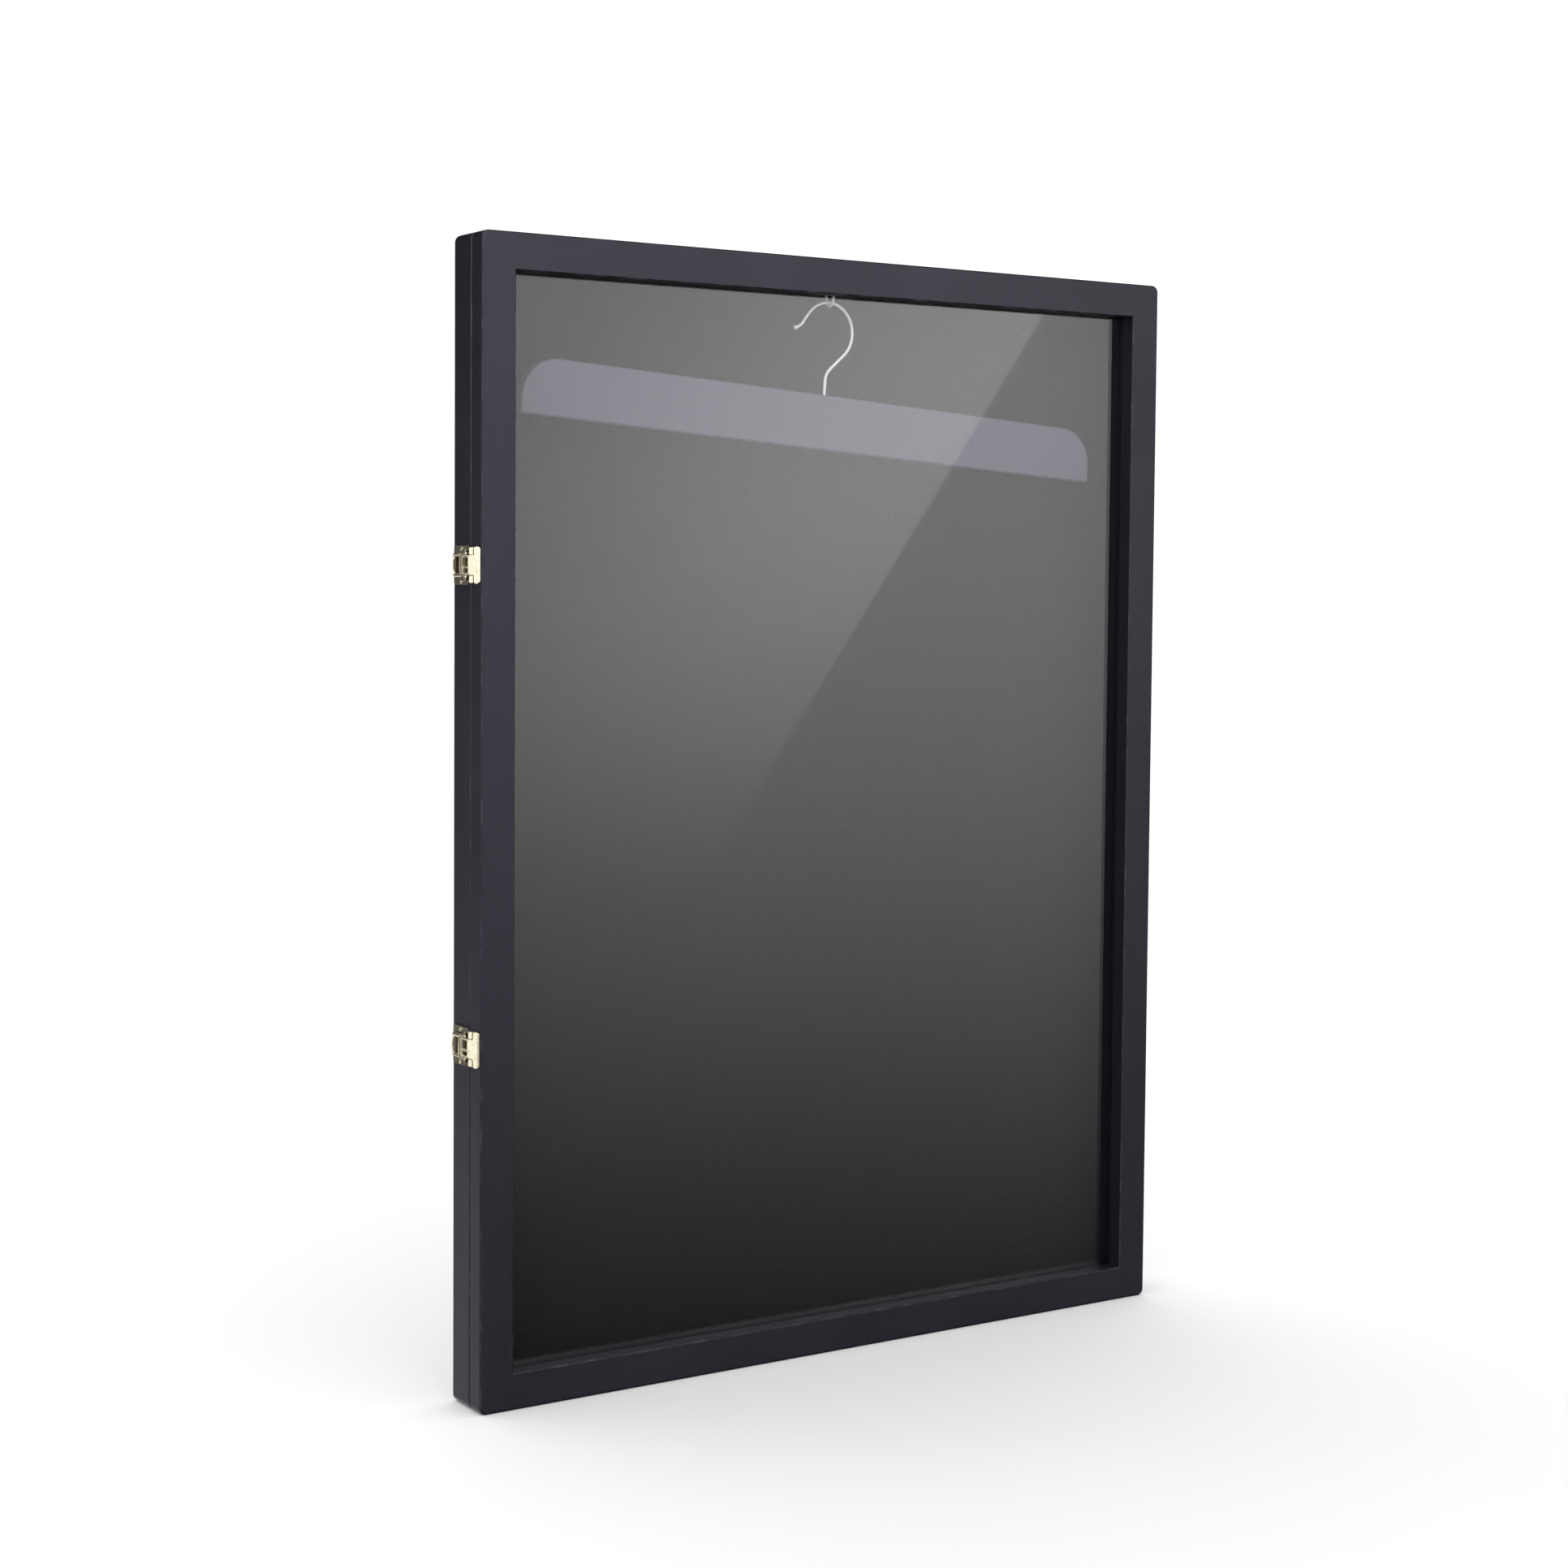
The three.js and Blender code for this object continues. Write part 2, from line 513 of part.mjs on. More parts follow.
function addLatch(side, z) {
  const group = new THREE.Group();
  group.position.set(-WIDTH / 2, 0, z);
  group.rotation.z = Math.PI;
  frame.add(group);
  addPiece(group, `latch_${side}_base`, latchBase(), BRASS);
  addPiece(group, `latch_${side}_lever`, latchLever(), BRASS);
  const pinStart = [LATCH.pivotX, LOOP_PIN.y, -LOOP_PIN.halfLength];
  const pin = rod(LOOP_PIN.radius, pinStart, "z", 2 * LOOP_PIN.halfLength, 10);
  addPiece(group, `latch_${side}_loop_pin`, pin, STEEL);
  addPiece(group, `latch_${side}_loop`, latchLoop(), BRASS);
  addPiece(group, `latch_${side}_catch`, latchCatch(), BRASS);
  const screwX = LATCH.plate[1] + 0.1;
  addSideScrews(group, `latch_${side}_screw`, LATCH_SCREW, screwX, LATCH_SCREWS);
  addSideScrews(group, `catch_${side}_rivet`, CATCH_RIVET, CATCH.top + 0.1, CATCH_RIVETS);
  const bores = (dims, { y, heights }) =>
    heights.map((height) =>
      rod(dims.shankRadius + GAP, [-WIDTH / 2 - 1, -y, z + height], "x", dims.shankLength + 1),
    );
  caseCuts.left_stile.push(...bores(LATCH_SCREW, LATCH_SCREWS));
  doorCuts.left_stile.push(...bores(CATCH_RIVET, CATCH_RIVETS));
}

// ---- Hanger: an eye in the top rail, a wire hook and a flat bar ----
// A round wire along a smooth path through the points.
function wire(points, radius, steps, sides = 8) {
  const path = new THREE.CatmullRomCurve3(points, false, "centripetal");
  const section = new THREE.Shape();
  section.absarc(0, 0, radius, 0, 2 * Math.PI);
  const options = { steps, extrudePath: path, curveSegments: sides / 2, bevelEnabled: false };
  return solid(new THREE.ExtrudeGeometry(section, options));
}

function eyeWire() {
  const top = CASE_INNER_Z + EYE_LEG_DEPTH;
  const bendZ = EYE_Z + EYE_BEND;
  const points = [];
  const at = (y, z) => points.push(new THREE.Vector3(0, HANGER_PLANE_Y + y, z));
  at(-EYE_BEND, top);
  at(-EYE_BEND, CASE_INNER_Z);
  at(-EYE_BEND, bendZ + 1.5);
  for (let i = 0; i <= 8; i += 1) {
    const angle = Math.PI * (1 + i / 8);
    at(EYE_BEND * Math.cos(angle), bendZ + EYE_BEND * Math.sin(angle));
  }
  at(EYE_BEND, bendZ + 1.5);
  at(EYE_BEND, CASE_INNER_Z);
  at(EYE_BEND, top);
  return wire(points, EYE_WIRE, 28);
}

// The hook is drawn from the eye's wire at (0, 0), with its round part over that point.
function hookWire() {
  const apex = EYE_WIRE + GAP + HOOK_WIRE;
  const centreZ = apex - HOOK_RADIUS;
  const points = [
    new THREE.Vector3(-28.8, 0, centreZ - 0.2),
    new THREE.Vector3(-25.6, 0, centreZ + 1.6),
    new THREE.Vector3(-23.2, 0, centreZ + 3.8),
    new THREE.Vector3(-20.6, 0, centreZ + 8.0),
  ];
  const [start, end] = [145, -45];
  const arcSteps = 14;
  for (let i = 0; i <= arcSteps; i += 1) {
    const angle = THREE.MathUtils.degToRad(start + ((end - start) * i) / arcSteps);
    points.push(new THREE.Vector3(HOOK_RADIUS * Math.cos(angle), 0, centreZ + HOOK_RADIUS * Math.sin(angle)));
  }
  points.push(
    new THREE.Vector3(8.6, 0, centreZ - 21.6),
    new THREE.Vector3(2.9, 0, centreZ - 27.4),
    new THREE.Vector3(0.4, 0, centreZ - 32.2),
    new THREE.Vector3(0, 0, centreZ - 37),
    new THREE.Vector3(0, 0, -BAR_DROP),
    new THREE.Vector3(0, 0, -BAR_DROP - SHANK_IN_BAR),
  );
  return wire(points, HOOK_WIRE, 60);
}

function barBody() {
  const [half, top, bottom] = [BAR_LENGTH / 2, -BAR_DROP, -BAR_DROP - BAR_HEIGHT];
  const outline = new THREE.Shape();
  outline.moveTo(-half, bottom);
  outline.lineTo(half, bottom);
  outline.absarc(half - BAR_CORNER, top - BAR_CORNER, BAR_CORNER, 0, Math.PI / 2);
  outline.absarc(-half + BAR_CORNER, top - BAR_CORNER, BAR_CORNER, Math.PI / 2, Math.PI);
  // Drawn in x and z, the outline is turned upright and centred on the hanger's plane.
  const slab = extruded(outline, BAR_THICKNESS, 6).rotateX(Math.PI / 2);
  const bar = solid(slab.translate(0, BAR_THICKNESS / 2, 0));
  return cut(bar, rod(HOOK_WIRE + GAP, [0, 0, top + 1], "z", -SHANK_IN_BAR - 2));
}

function addHanger() {
  addPiece(frame, "hanger_eye", eyeWire(), STEEL);
  for (const sign of [-1, 1]) {
    const leg = [0, HANGER_PLANE_Y + sign * EYE_BEND, CASE_INNER_Z - 1];
    caseCuts.top_rail.push(rod(EYE_WIRE + GAP, leg, "z", EYE_LEG_DEPTH + 1 + GAP, 10));
  }
  const group = new THREE.Group();
  group.position.set(0, HANGER_PLANE_Y, EYE_Z);
  group.rotation.y = HANGER_TILT;
  frame.add(group);
  addPiece(group, "hanger_hook", hookWire(), STEEL);
  addPiece(group, "hanger_bar", barBody(), BAR_FINISH);
}

addBack();
addKeyholePlate("left", -KEYHOLE_SPREAD);
addKeyholePlate("right", KEYHOLE_SPREAD);
addGlazing();
for (const [side, z] of Object.entries(HINGE_HEIGHTS)) addHinge(side, z);
for (const [side, z] of Object.entries(LATCH_HEIGHTS)) addLatch(side, z);
addHanger();

for (const [name, rail] of Object.entries(frameRails(caseProfile()))) {
  addPiece(frame, `case_${name}`, cut(rail, ...caseCuts[name]), LACQUER);
}
for (const [name, rail] of Object.entries(frameRails(doorProfile()))) {
  addPiece(frame, `door_${name}`, cut(rail, ...doorCuts[name]), LACQUER);
}

export default frame;
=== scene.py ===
"""A black wooden jersey display frame with a hinged clear door, brass draw latches and a clothes hanger.

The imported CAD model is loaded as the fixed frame. This script gives every piece its finish, and replaces
the small hardware, the hanger and the fabric by detailed pieces that ride on the same bodies.
"""

import json
import math

import bmesh
import bpy
from mathutils import Matrix, Vector
from mathutils.noise import noise as noise_at


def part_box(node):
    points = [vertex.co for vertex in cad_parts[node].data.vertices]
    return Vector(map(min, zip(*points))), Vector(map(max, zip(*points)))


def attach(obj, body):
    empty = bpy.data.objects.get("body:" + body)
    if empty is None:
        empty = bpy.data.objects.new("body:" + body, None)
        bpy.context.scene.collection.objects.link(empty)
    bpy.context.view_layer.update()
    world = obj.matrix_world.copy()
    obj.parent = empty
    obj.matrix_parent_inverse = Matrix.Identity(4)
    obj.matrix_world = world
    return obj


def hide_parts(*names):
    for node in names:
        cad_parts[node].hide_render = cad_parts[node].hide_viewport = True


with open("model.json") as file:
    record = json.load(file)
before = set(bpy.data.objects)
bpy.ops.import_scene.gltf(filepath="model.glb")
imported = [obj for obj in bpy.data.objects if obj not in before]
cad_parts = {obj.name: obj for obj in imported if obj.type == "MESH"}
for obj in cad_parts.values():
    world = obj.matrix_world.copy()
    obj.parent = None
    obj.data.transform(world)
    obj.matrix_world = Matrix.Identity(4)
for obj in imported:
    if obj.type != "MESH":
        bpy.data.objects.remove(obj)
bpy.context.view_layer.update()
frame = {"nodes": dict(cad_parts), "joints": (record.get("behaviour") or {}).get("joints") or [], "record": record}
NODES = frame["nodes"]
SCENE = bpy.context.scene

MM = 0.001
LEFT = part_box("case_left_stile")[0].x
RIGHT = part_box("case_right_stile")[1].x
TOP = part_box("case_top_rail")[1].z
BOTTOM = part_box("case_bottom_rail")[0].z
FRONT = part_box("door_top_rail")[0].y


# ---- Camera ----
CAMERA_PLACE = Vector((-1.1082, -1.5965, 0.1682))
CAMERA_AZIMUTH = -32.165
CAMERA_ELEVATION = 2.93
CAMERA_ROLL = 0.356
CAMERA_LENS = 60.467
CAMERA_SHIFT = (0.058, -0.0453)


def direction(azimuth, elevation):
    """The unit vector from the object towards an azimuth (0 is the front, -90 the left) and elevation."""
    a, e = math.radians(azimuth), math.radians(elevation)
    return Vector((math.sin(a) * math.cos(e), -math.cos(a) * math.cos(e), math.sin(e)))


def add_camera():
    data = bpy.data.cameras.new("camera")
    data.lens = CAMERA_LENS
    data.shift_x, data.shift_y = CAMERA_SHIFT
    data.clip_start, data.clip_end = 0.05, 60
    camera = bpy.data.objects.new("camera", data)
    back = direction(CAMERA_AZIMUTH, CAMERA_ELEVATION)
    turn = back.to_track_quat("Z", "Y") @ Matrix.Rotation(math.radians(CAMERA_ROLL), 3, "Z").to_quaternion()
    camera.matrix_world = Matrix.Translation(CAMERA_PLACE) @ turn.to_matrix().to_4x4()
    SCENE.collection.objects.link(camera)
    SCENE.camera = camera


add_camera()


# ---- Node helpers ----
def add(tree, kind, values=None, **settings):
    """A node with its settings, and its inputs set to values or linked to sockets."""
    node = tree.nodes.new(kind)
    for name, value in settings.items():
        setattr(node, name, value)
    for name, value in (values or {}).items():
        plug(tree, node, name, value)
    return node


def plug(tree, node, name, value):
    if isinstance(value, bpy.types.NodeSocket):
        tree.links.new(value, node.inputs[name])
    else:
        node.inputs[name].default_value = value


def math_of(tree, operation, a, b=0.0):
    return add(tree, "ShaderNodeMath", {0: a, 1: b}, operation=operation).outputs[0]


def ramp(tree, value, low, high, to_low=0.0, to_high=1.0):
    """A smooth step from to_low to to_high as value goes from low to high."""
    sockets = {"Value": value, "From Min": low, "From Max": high, "To Min": to_low, "To Max": to_high}
    return add(tree, "ShaderNodeMapRange", sockets, interpolation_type="SMOOTHSTEP").outputs["Result"]


def mix(tree, factor, a, b):
    """A colour between a and b."""
    node = add(tree, "ShaderNodeMix", data_type="RGBA")
    for socket, value in (("Factor_Float", factor), ("A_Color", a), ("B_Color", b)):
        target = next(s for s in node.inputs if s.identifier == socket)
        if isinstance(value, bpy.types.NodeSocket):
            tree.links.new(value, target)
        else:
            target.default_value = value
    return next(s for s in node.outputs if s.identifier == "Result_Color")


def noise(tree, scale, detail=2.0, stretch=(1, 1, 1), roughness=0.5):
    """Noise in the object's own coordinates. scale is in features a metre, and stretch divides it by axis."""
    place = add(tree, "ShaderNodeTexCoord").outputs["Object"]
    size = [scale / s for s in stretch]
    mapped = add(tree, "ShaderNodeMapping", {"Vector": place, "Scale": size}).outputs[0]
    values = {"Vector": mapped, "Scale": 1.0, "Detail": detail, "Roughness": roughness}
    return add(tree, "ShaderNodeTexNoise", values).outputs["Fac"]


def bump(tree, height, distance, strength=1.0, below=None):
    values = {"Height": height, "Distance": distance, "Strength": strength}
    node = add(tree, "ShaderNodeBump", values)
    if below is not None:
        tree.links.new(below, node.inputs["Normal"])
    return node.outputs["Normal"]


def edge_mask(tree, low=0.04, high=0.22):
    """1 where the surface turns between the object's own axes, as on an arris, and 0 on its flat faces."""
    normal = add(tree, "ShaderNodeTexCoord").outputs["Normal"]
    parts = add(tree, "ShaderNodeSeparateXYZ", {0: normal}).outputs
    sizes = [math_of(tree, "ABSOLUTE", part) for part in parts]
    largest = math_of(tree, "MAXIMUM", math_of(tree, "MAXIMUM", sizes[0], sizes[1]), sizes[2])
    return ramp(tree, math_of(tree, "SUBTRACT", 1.0, largest), low, high)


def surface(name, values=None):
    """A material with one Principled shader. Returns the material, its tree and the shader."""
    material = bpy.data.materials.new(name)
    material.use_nodes = True
    tree = material.node_tree
    shader = tree.nodes["Principled BSDF"]
    for socket, value in (values or {}).items():
        shader.inputs[socket].default_value = value
    return material, tree, shader


# ---- Materials ----
ALONG_X = (30, 1, 1)
ALONG_Z = (1, 1, 30)
ACRYLIC_HEAD_ON = 0.039  # share of light mirrored straight on
ACRYLIC_GRAZING = 0.96  # added to it at a grazing angle


def lacquer(name, grain):
    """Satin black lacquer with a violet cast over close-grained wood. grain stretches it along the rail."""
    values = {"IOR": 1.48, "Specular Tint": (0.89, 0.83, 1.0, 1)}
    material, tree, shader = surface(name, values)
    cloud = noise(tree, 9, 3)
    fibre = noise(tree, 900, 4, grain, 0.6)
    speckle = noise(tree, 2600, 1)
    tone = mix(tree, cloud, (0.0078, 0.0068, 0.0112, 1), (0.0112, 0.0100, 0.0158, 1))
    grained = mix(tree, ramp(tree, fibre, 0.42, 0.75, 0, 0.35), tone, (0.019, 0.0175, 0.025, 1))
    rubbed = math_of(tree, "MULTIPLY", edge_mask(tree), ramp(tree, noise(tree, 70, 4), 0.45, 0.7))
    plug(tree, shader, "Base Color", mix(tree, rubbed, grained, (0.040, 0.037, 0.046, 1)))
    satin = ramp(tree, cloud, 0.3, 0.7, 0.30, 0.37)
    plug(tree, shader, "Roughness", math_of(tree, "ADD", satin, ramp(tree, speckle, 0.4, 0.8, 0, 0.06)))
    relief = bump(tree, fibre, 0.00006, 0.5)
    plug(tree, shader, "Normal", bump(tree, speckle, 0.00002, 0.4, relief))
    return material


def hardboard():
    """Dark pressed fibreboard: matted short fibres in two browns."""
    material, tree, shader = surface("hardboard", {"Specular IOR Level": 0.3})
    fibre = noise(tree, 420, 6, (3, 1, 1), 0.7)
    clump = noise(tree, 60, 3)
    tone = mix(tree, ramp(tree, fibre, 0.35, 0.7), (0.030, 0.021, 0.015, 1), (0.105, 0.076, 0.052, 1))
    matted = ramp(tree, clump, 0.4, 0.8, 0, 0.4)
    plug(tree, shader, "Base Color", mix(tree, matted, tone, (0.05, 0.036, 0.026, 1)))
    plug(tree, shader, "Roughness", ramp(tree, fibre, 0.3, 0.8, 0.72, 0.92))
    plug(tree, shader, "Normal", bump(tree, fibre, 0.0002, 0.6))
    return material


def felt():
    """Black woven display cloth with pale flecks and a soft nap."""
    values = {"Sheen Weight": 0.08, "Sheen Roughness": 0.5, "Specular IOR Level": 0.2, "Roughness": 0.95}
    material, tree, shader = surface("felt", values)
    place = add(tree, "ShaderNodeTexCoord").outputs["Object"]
    waves = []
    for turn in ((0, 0, 0), (0, math.pi / 2, 0)):
        turned_place = add(tree, "ShaderNodeMapping", {"Vector": place, "Rotation": turn}).outputs[0]
        wave = {"Vector": turned_place, "Scale": 260, "Distortion": 1.2, "Detail": 1.0}
        waves.append(add(tree, "ShaderNodeTexWave", wave, bands_direction="X").outputs["Fac"])
    weave = math_of(tree, "MULTIPLY", waves[0], waves[1])
    fleck = noise(tree, 1500, 2)
    cloth = mix(tree, weave, (0.0045, 0.0045, 0.0048, 1), (0.0068, 0.0068, 0.0073, 1))
    flecked = ramp(tree, fleck, 0.55, 0.8, 0, 0.7)
    plug(tree, shader, "Base Color", mix(tree, flecked, cloth, (0.026, 0.026, 0.027, 1)))
    napped = bump(tree, fleck, 0.0003, 0.6)
    plug(tree, shader, "Normal", bump(tree, weave, 0.0002, 0.3, napped))
    return material


def acrylic():
    """Clear polished sheet: it lets light straight through and mirrors as much as its Fresnel term says."""
    material = bpy.data.materials.new("acrylic")
    material.use_nodes = True
    tree = material.node_tree
    tree.nodes.remove(tree.nodes["Principled BSDF"])
    clear = add(tree, "ShaderNodeBsdfTransparent", {"Color": (0.975, 0.985, 0.985, 1)})
    wiped = noise(tree, 22, 3, (1, 1, 3))
    polish = ramp(tree, wiped, 0.3, 0.8, 0.006, 0.02)
    shine = add(tree, "ShaderNodeBsdfGlossy", {"Color": (1, 1, 1, 1), "Roughness": polish})
    grazing = add(tree, "ShaderNodeLayerWeight", {"Blend": 0.5}).outputs["Facing"]
    rise = math_of(tree, "MULTIPLY", math_of(tree, "POWER", grazing, 5.0), ACRYLIC_GRAZING)
    mirrored = math_of(tree, "ADD", rise, ACRYLIC_HEAD_ON)
    glass = add(tree, "ShaderNodeMixShader", {0: mirrored, 1: clear.outputs[0], 2: shine.outputs[0]})
    output = tree.nodes["Material Output"]
    tree.links.new(glass.outputs[0], output.inputs["Surface"])
    return material


def metal(name, fresh, dull, polish, wear=0.5, metallic=1.0):
    """A plated metal. polish is its roughness, dull the colour of its handled patches."""
    material, tree, shader = surface(name, {"Metallic": metallic})
    patch = noise(tree, 260, 4, roughness=0.6)
    scratch = noise(tree, 3500, 2, (12, 1, 1))
    tone = mix(tree, ramp(tree, patch, 0.45, 0.75, 0, wear), fresh, dull)
    plug(tree, shader, "Base Color", mix(tree, edge_mask(tree, 0.05, 0.25), tone, fresh))
    smooth = ramp(tree, patch, 0.35, 0.75, polish, polish + 0.10)
    plug(tree, shader, "Roughness", math_of(tree, "ADD", smooth, ramp(tree, scratch, 0.5, 0.8, 0, 0.05)))
    plug(tree, shader, "Normal", bump(tree, scratch, 0.00001, 0.25))
    return material


def moulded(name, dark, pale, gloss, pebble=1800):
    """A moulded or painted plastic with a fine pebbled skin."""
    material, tree, shader = surface(name, {"IOR": 1.46})
    skin = noise(tree, pebble, 2)
    cloud = noise(tree, 14, 2)
    plug(tree, shader, "Base Color", mix(tree, cloud, dark, pale))
    plug(tree, shader, "Roughness", ramp(tree, skin, 0.3, 0.8, gloss, gloss + 0.12))
    plug(tree, shader, "Normal", bump(tree, skin, 0.00005, 0.35))
    return material


RAIL_LACQUER = lacquer("lacquer_rail", ALONG_X)
STILE_LACQUER = lacquer("lacquer_stile", ALONG_Z)
HARDBOARD = hardboard()
FELT = felt()
ACRYLIC = acrylic()
BRASS = metal("brass", (0.97, 0.89, 0.67, 1), (0.90, 0.79, 0.53, 1), 0.24)
# A darkened copy of the brass: painted shade for the latch bases, which sit in shadow under their levers.
SHADE_DARKENED_BRASS = metal("shade_darkened_brass", (0.30, 0.27, 0.22, 1), (0.20, 0.17, 0.13, 1), 0.34)
ZINC = metal("zinc", (0.66, 0.67, 0.70, 1), (0.45, 0.46, 0.48, 1), 0.26)
WIRE = metal("hanger_wire", (0.80, 0.79, 0.82, 1), (0.70, 0.69, 0.73, 1), 0.38, 0.3, 0.35)
BAR_PLASTIC = moulded("hanger_bar", (0.090, 0.080, 0.118, 1), (0.102, 0.092, 0.133, 1), 0.42)
STRIP_PLASTIC = moulded("retainer_strip", (0.012, 0.012, 0.014, 1), (0.020, 0.020, 0.023, 1), 0.38)

FINISHES = {
    "hardboard": HARDBOARD,
    "felt": FELT,
    "acrylic": ACRYLIC,
    "brass": BRASS,
    "zinc": ZINC,
    "hanger_wire": WIRE,
    "hanger_bar": BAR_PLASTIC,
    "retainer_strip": STRIP_PLASTIC,
}


def finish_of(node, slot):
    if slot == "lacquer":
        return STILE_LACQUER if node.endswith("stile") else RAIL_LACQUER
    return FINISHES[slot]


def assign(piece, material):
    piece.data.materials.clear()
    piece.data.materials.append(material)


# ---- Carried-over CAD nodes: finishes and soft edges ----
SMOOTH_ANGLE = math.radians(32)
SHARP_ANGLE = math.radians(35)
FLAT_ANGLE = math.radians(0.5)
WELD = 2e-6


def smooth_group():
    """Shades a mesh smooth except across its sharp edges. A CAD mesh's loose triangles are welded before it, by
    its own weld modifier.
    """
    group = bpy.data.node_groups.new("smooth_by_angle", "GeometryNodeTree")
    group.interface.new_socket("Geometry", in_out="INPUT", socket_type="NodeSocketGeometry")
    group.interface.new_socket("Geometry", in_out="OUTPUT", socket_type="NodeSocketGeometry")
    source = group.nodes.new("NodeGroupInput")
    faces = add(group, "GeometryNodeSetShadeSmooth", {"Geometry": source.outputs[0]}, domain="FACE")
    angle = add(group, "GeometryNodeInputMeshEdgeAngle").outputs["Unsigned Angle"]
    gentle = add(group, "FunctionNodeCompare", {0: angle, 1: SMOOTH_ANGLE}, operation="LESS_EQUAL")
    edges = add(group, "GeometryNodeSetShadeSmooth", {"Geometry": faces.outputs[0]}, domain="EDGE")
    group.links.new(gentle.outputs[0], edges.inputs["Shade Smooth"])
    end = group.nodes.new("NodeGroupOutput")
    group.links.new(edges.outputs[0], end.inputs[0])
    return group


SMOOTH_GROUP = smooth_group()


def smooth(piece):
    if "custom_normal" in piece.data.attributes:
        piece.data.attributes.remove(piece.data.attributes["custom_normal"])
    modifier = piece.modifiers.new("smooth_by_angle", "NODES")
    modifier.node_group = SMOOTH_GROUP
    piece.modifiers.new("weighted_normals", "WEIGHTED_NORMAL").keep_sharp = True


def weld(piece):
    piece.modifiers.new("weld", "WELD").merge_threshold = WELD


def round_edges(piece, width):
    """Rounds a piece's sharp edges by width, in metres."""
    edge = piece.modifiers.new("soft_edges", "BEVEL")
    edge.width = width
    edge.segments = 2
    edge.limit_method = "ANGLE"
    edge.angle_limit = SHARP_ANGLE


def soften(piece, width):
    """Merges a CAD piece's flat triangles, and rounds its sharp edges."""
    flat = piece.modifiers.new("flat", "DECIMATE")
    flat.decimate_type = "DISSOLVE"
    flat.angle_limit = FLAT_ANGLE
    round_edges(piece, width)


SOFT_EDGES = {
    "latch": 0.00016,
    "catch": 0.0001,
    "hinge": 0.00012,
    "keyhole_plate": 0.0002,
    "pane_retainer": 0.0003,
}


def finish_cad_nodes():
    for part in frame["record"]["subparts"]:
        node, slot = part["node"], part["material_slot"]
        piece = NODES[node]
        assign(piece, finish_of(node, slot))
        weld(piece)
        for start, width in SOFT_EDGES.items():
            if node.startswith(start):
                soften(piece, width)
        smooth(piece)


finish_cad_nodes()


# ---- Mesh helpers: everything below is drawn in millimetres ----
def fillet(points, radii, steps=5):
    """A closed outline with its corners rounded. radii is one radius, or one for each corner."""
    outline = []
    for i, point in enumerate(points):
        radius = radii[i] if isinstance(radii, (list, tuple)) else radii
        here, before, after = Vector(point), Vector(points[i - 1]), Vector(points[(i + 1) % len(points)])
        back, on = (before - here).normalized(), (after - here).normalized()
        reach = radius / math.tan(back.angle(on) / 2)
        start, end = here + back * reach, here + on * reach
        for k in range(steps + 1):
            t = k / steps
            outline.append((1 - t) ** 2 * start + 2 * t * (1 - t) * here + t * t * end)
    return outline


def rectangle(x0, x1, y0, y1, radius):
    return fillet([(x0, y0), (x1, y0), (x1, y1), (x0, y1)], radius)


def circle(x, y, radius, sides=24):
    turns = [2 * math.pi * k / sides for k in range(sides)]
    return [Vector((x + radius * math.cos(turn), y + radius * math.sin(turn))) for turn in turns]


def shape_of(data):
    """The bmesh of a curve or of an object with modifiers, welded, with its faces pointing out."""
    holder = data
    if not isinstance(data, bpy.types.Object):
        holder = bpy.data.objects.new("drawing", data)
        SCENE.collection.objects.link(holder)
    graph = bpy.context.evaluated_depsgraph_get()
    mesh = bpy.data.meshes.new_from_object(holder.evaluated_get(graph))
    shape = bmesh.new()
    shape.from_mesh(mesh)
    bpy.data.objects.remove(holder)
    bpy.data.meshes.remove(mesh)
    bmesh.ops.remove_doubles(shape, verts=shape.verts, dist=1e-4)
    bmesh.ops.recalc_face_normals(shape, faces=shape.faces)
    return shape


def add_spline(curve, points, closed):
    spline = curve.splines.new("POLY")
    spline.points.add(len(points) - 1)
    for target, point in zip(spline.points, points):
        target.co = (*point, *([0] * (3 - len(point))), 1)
    spline.use_cyclic_u = closed


def plate(loops, low, high, edge=0.0):
    """A flat plate from z = low to high. loops are its outline and then its holes. edge rounds its rim."""
    curve = bpy.data.curves.new("plate", "CURVE")
    curve.dimensions = "2D"
    curve.fill_mode = "BOTH"
    curve.extrude = (high - low) / 2 - edge
    curve.bevel_depth = edge
    curve.bevel_resolution = 2
    curve.offset = -edge
    for loop in loops:
        add_spline(curve, loop, True)
    shape = shape_of(curve)
    bmesh.ops.translate(shape, verts=shape.verts, vec=(0, 0, (low + high) / 2))
    return shape


def tube(points, radius):
    """A round wire along the points, closed at both ends."""
    curve = bpy.data.curves.new("tube", "CURVE")
    curve.dimensions = "3D"
    curve.bevel_depth = radius
    curve.bevel_resolution = 6
    curve.use_fill_caps = True
    add_spline(curve, points, False)
    return shape_of(curve)


def lathe(profile, sides=28):
    """A solid turned about Z. profile is (radius, height) pairs from its lowest point to its highest."""
    shape = bmesh.new()
    rings = []
    for radius, height in profile:
        turns = [2 * math.pi * k / sides for k in range(sides if radius else 1)]
        places = [(radius * math.cos(t), radius * math.sin(t), height) for t in turns]
        rings.append([shape.verts.new(place) for place in places])
    for low, high in zip(rings, rings[1:]):
        for k in range(sides):
            n = (k + 1) % sides
            corners = (low[k % len(low)], low[n % len(low)], high[n % len(high)], high[k % len(high)])
            shape.faces.new(list(dict.fromkeys(corners)))
    return shape


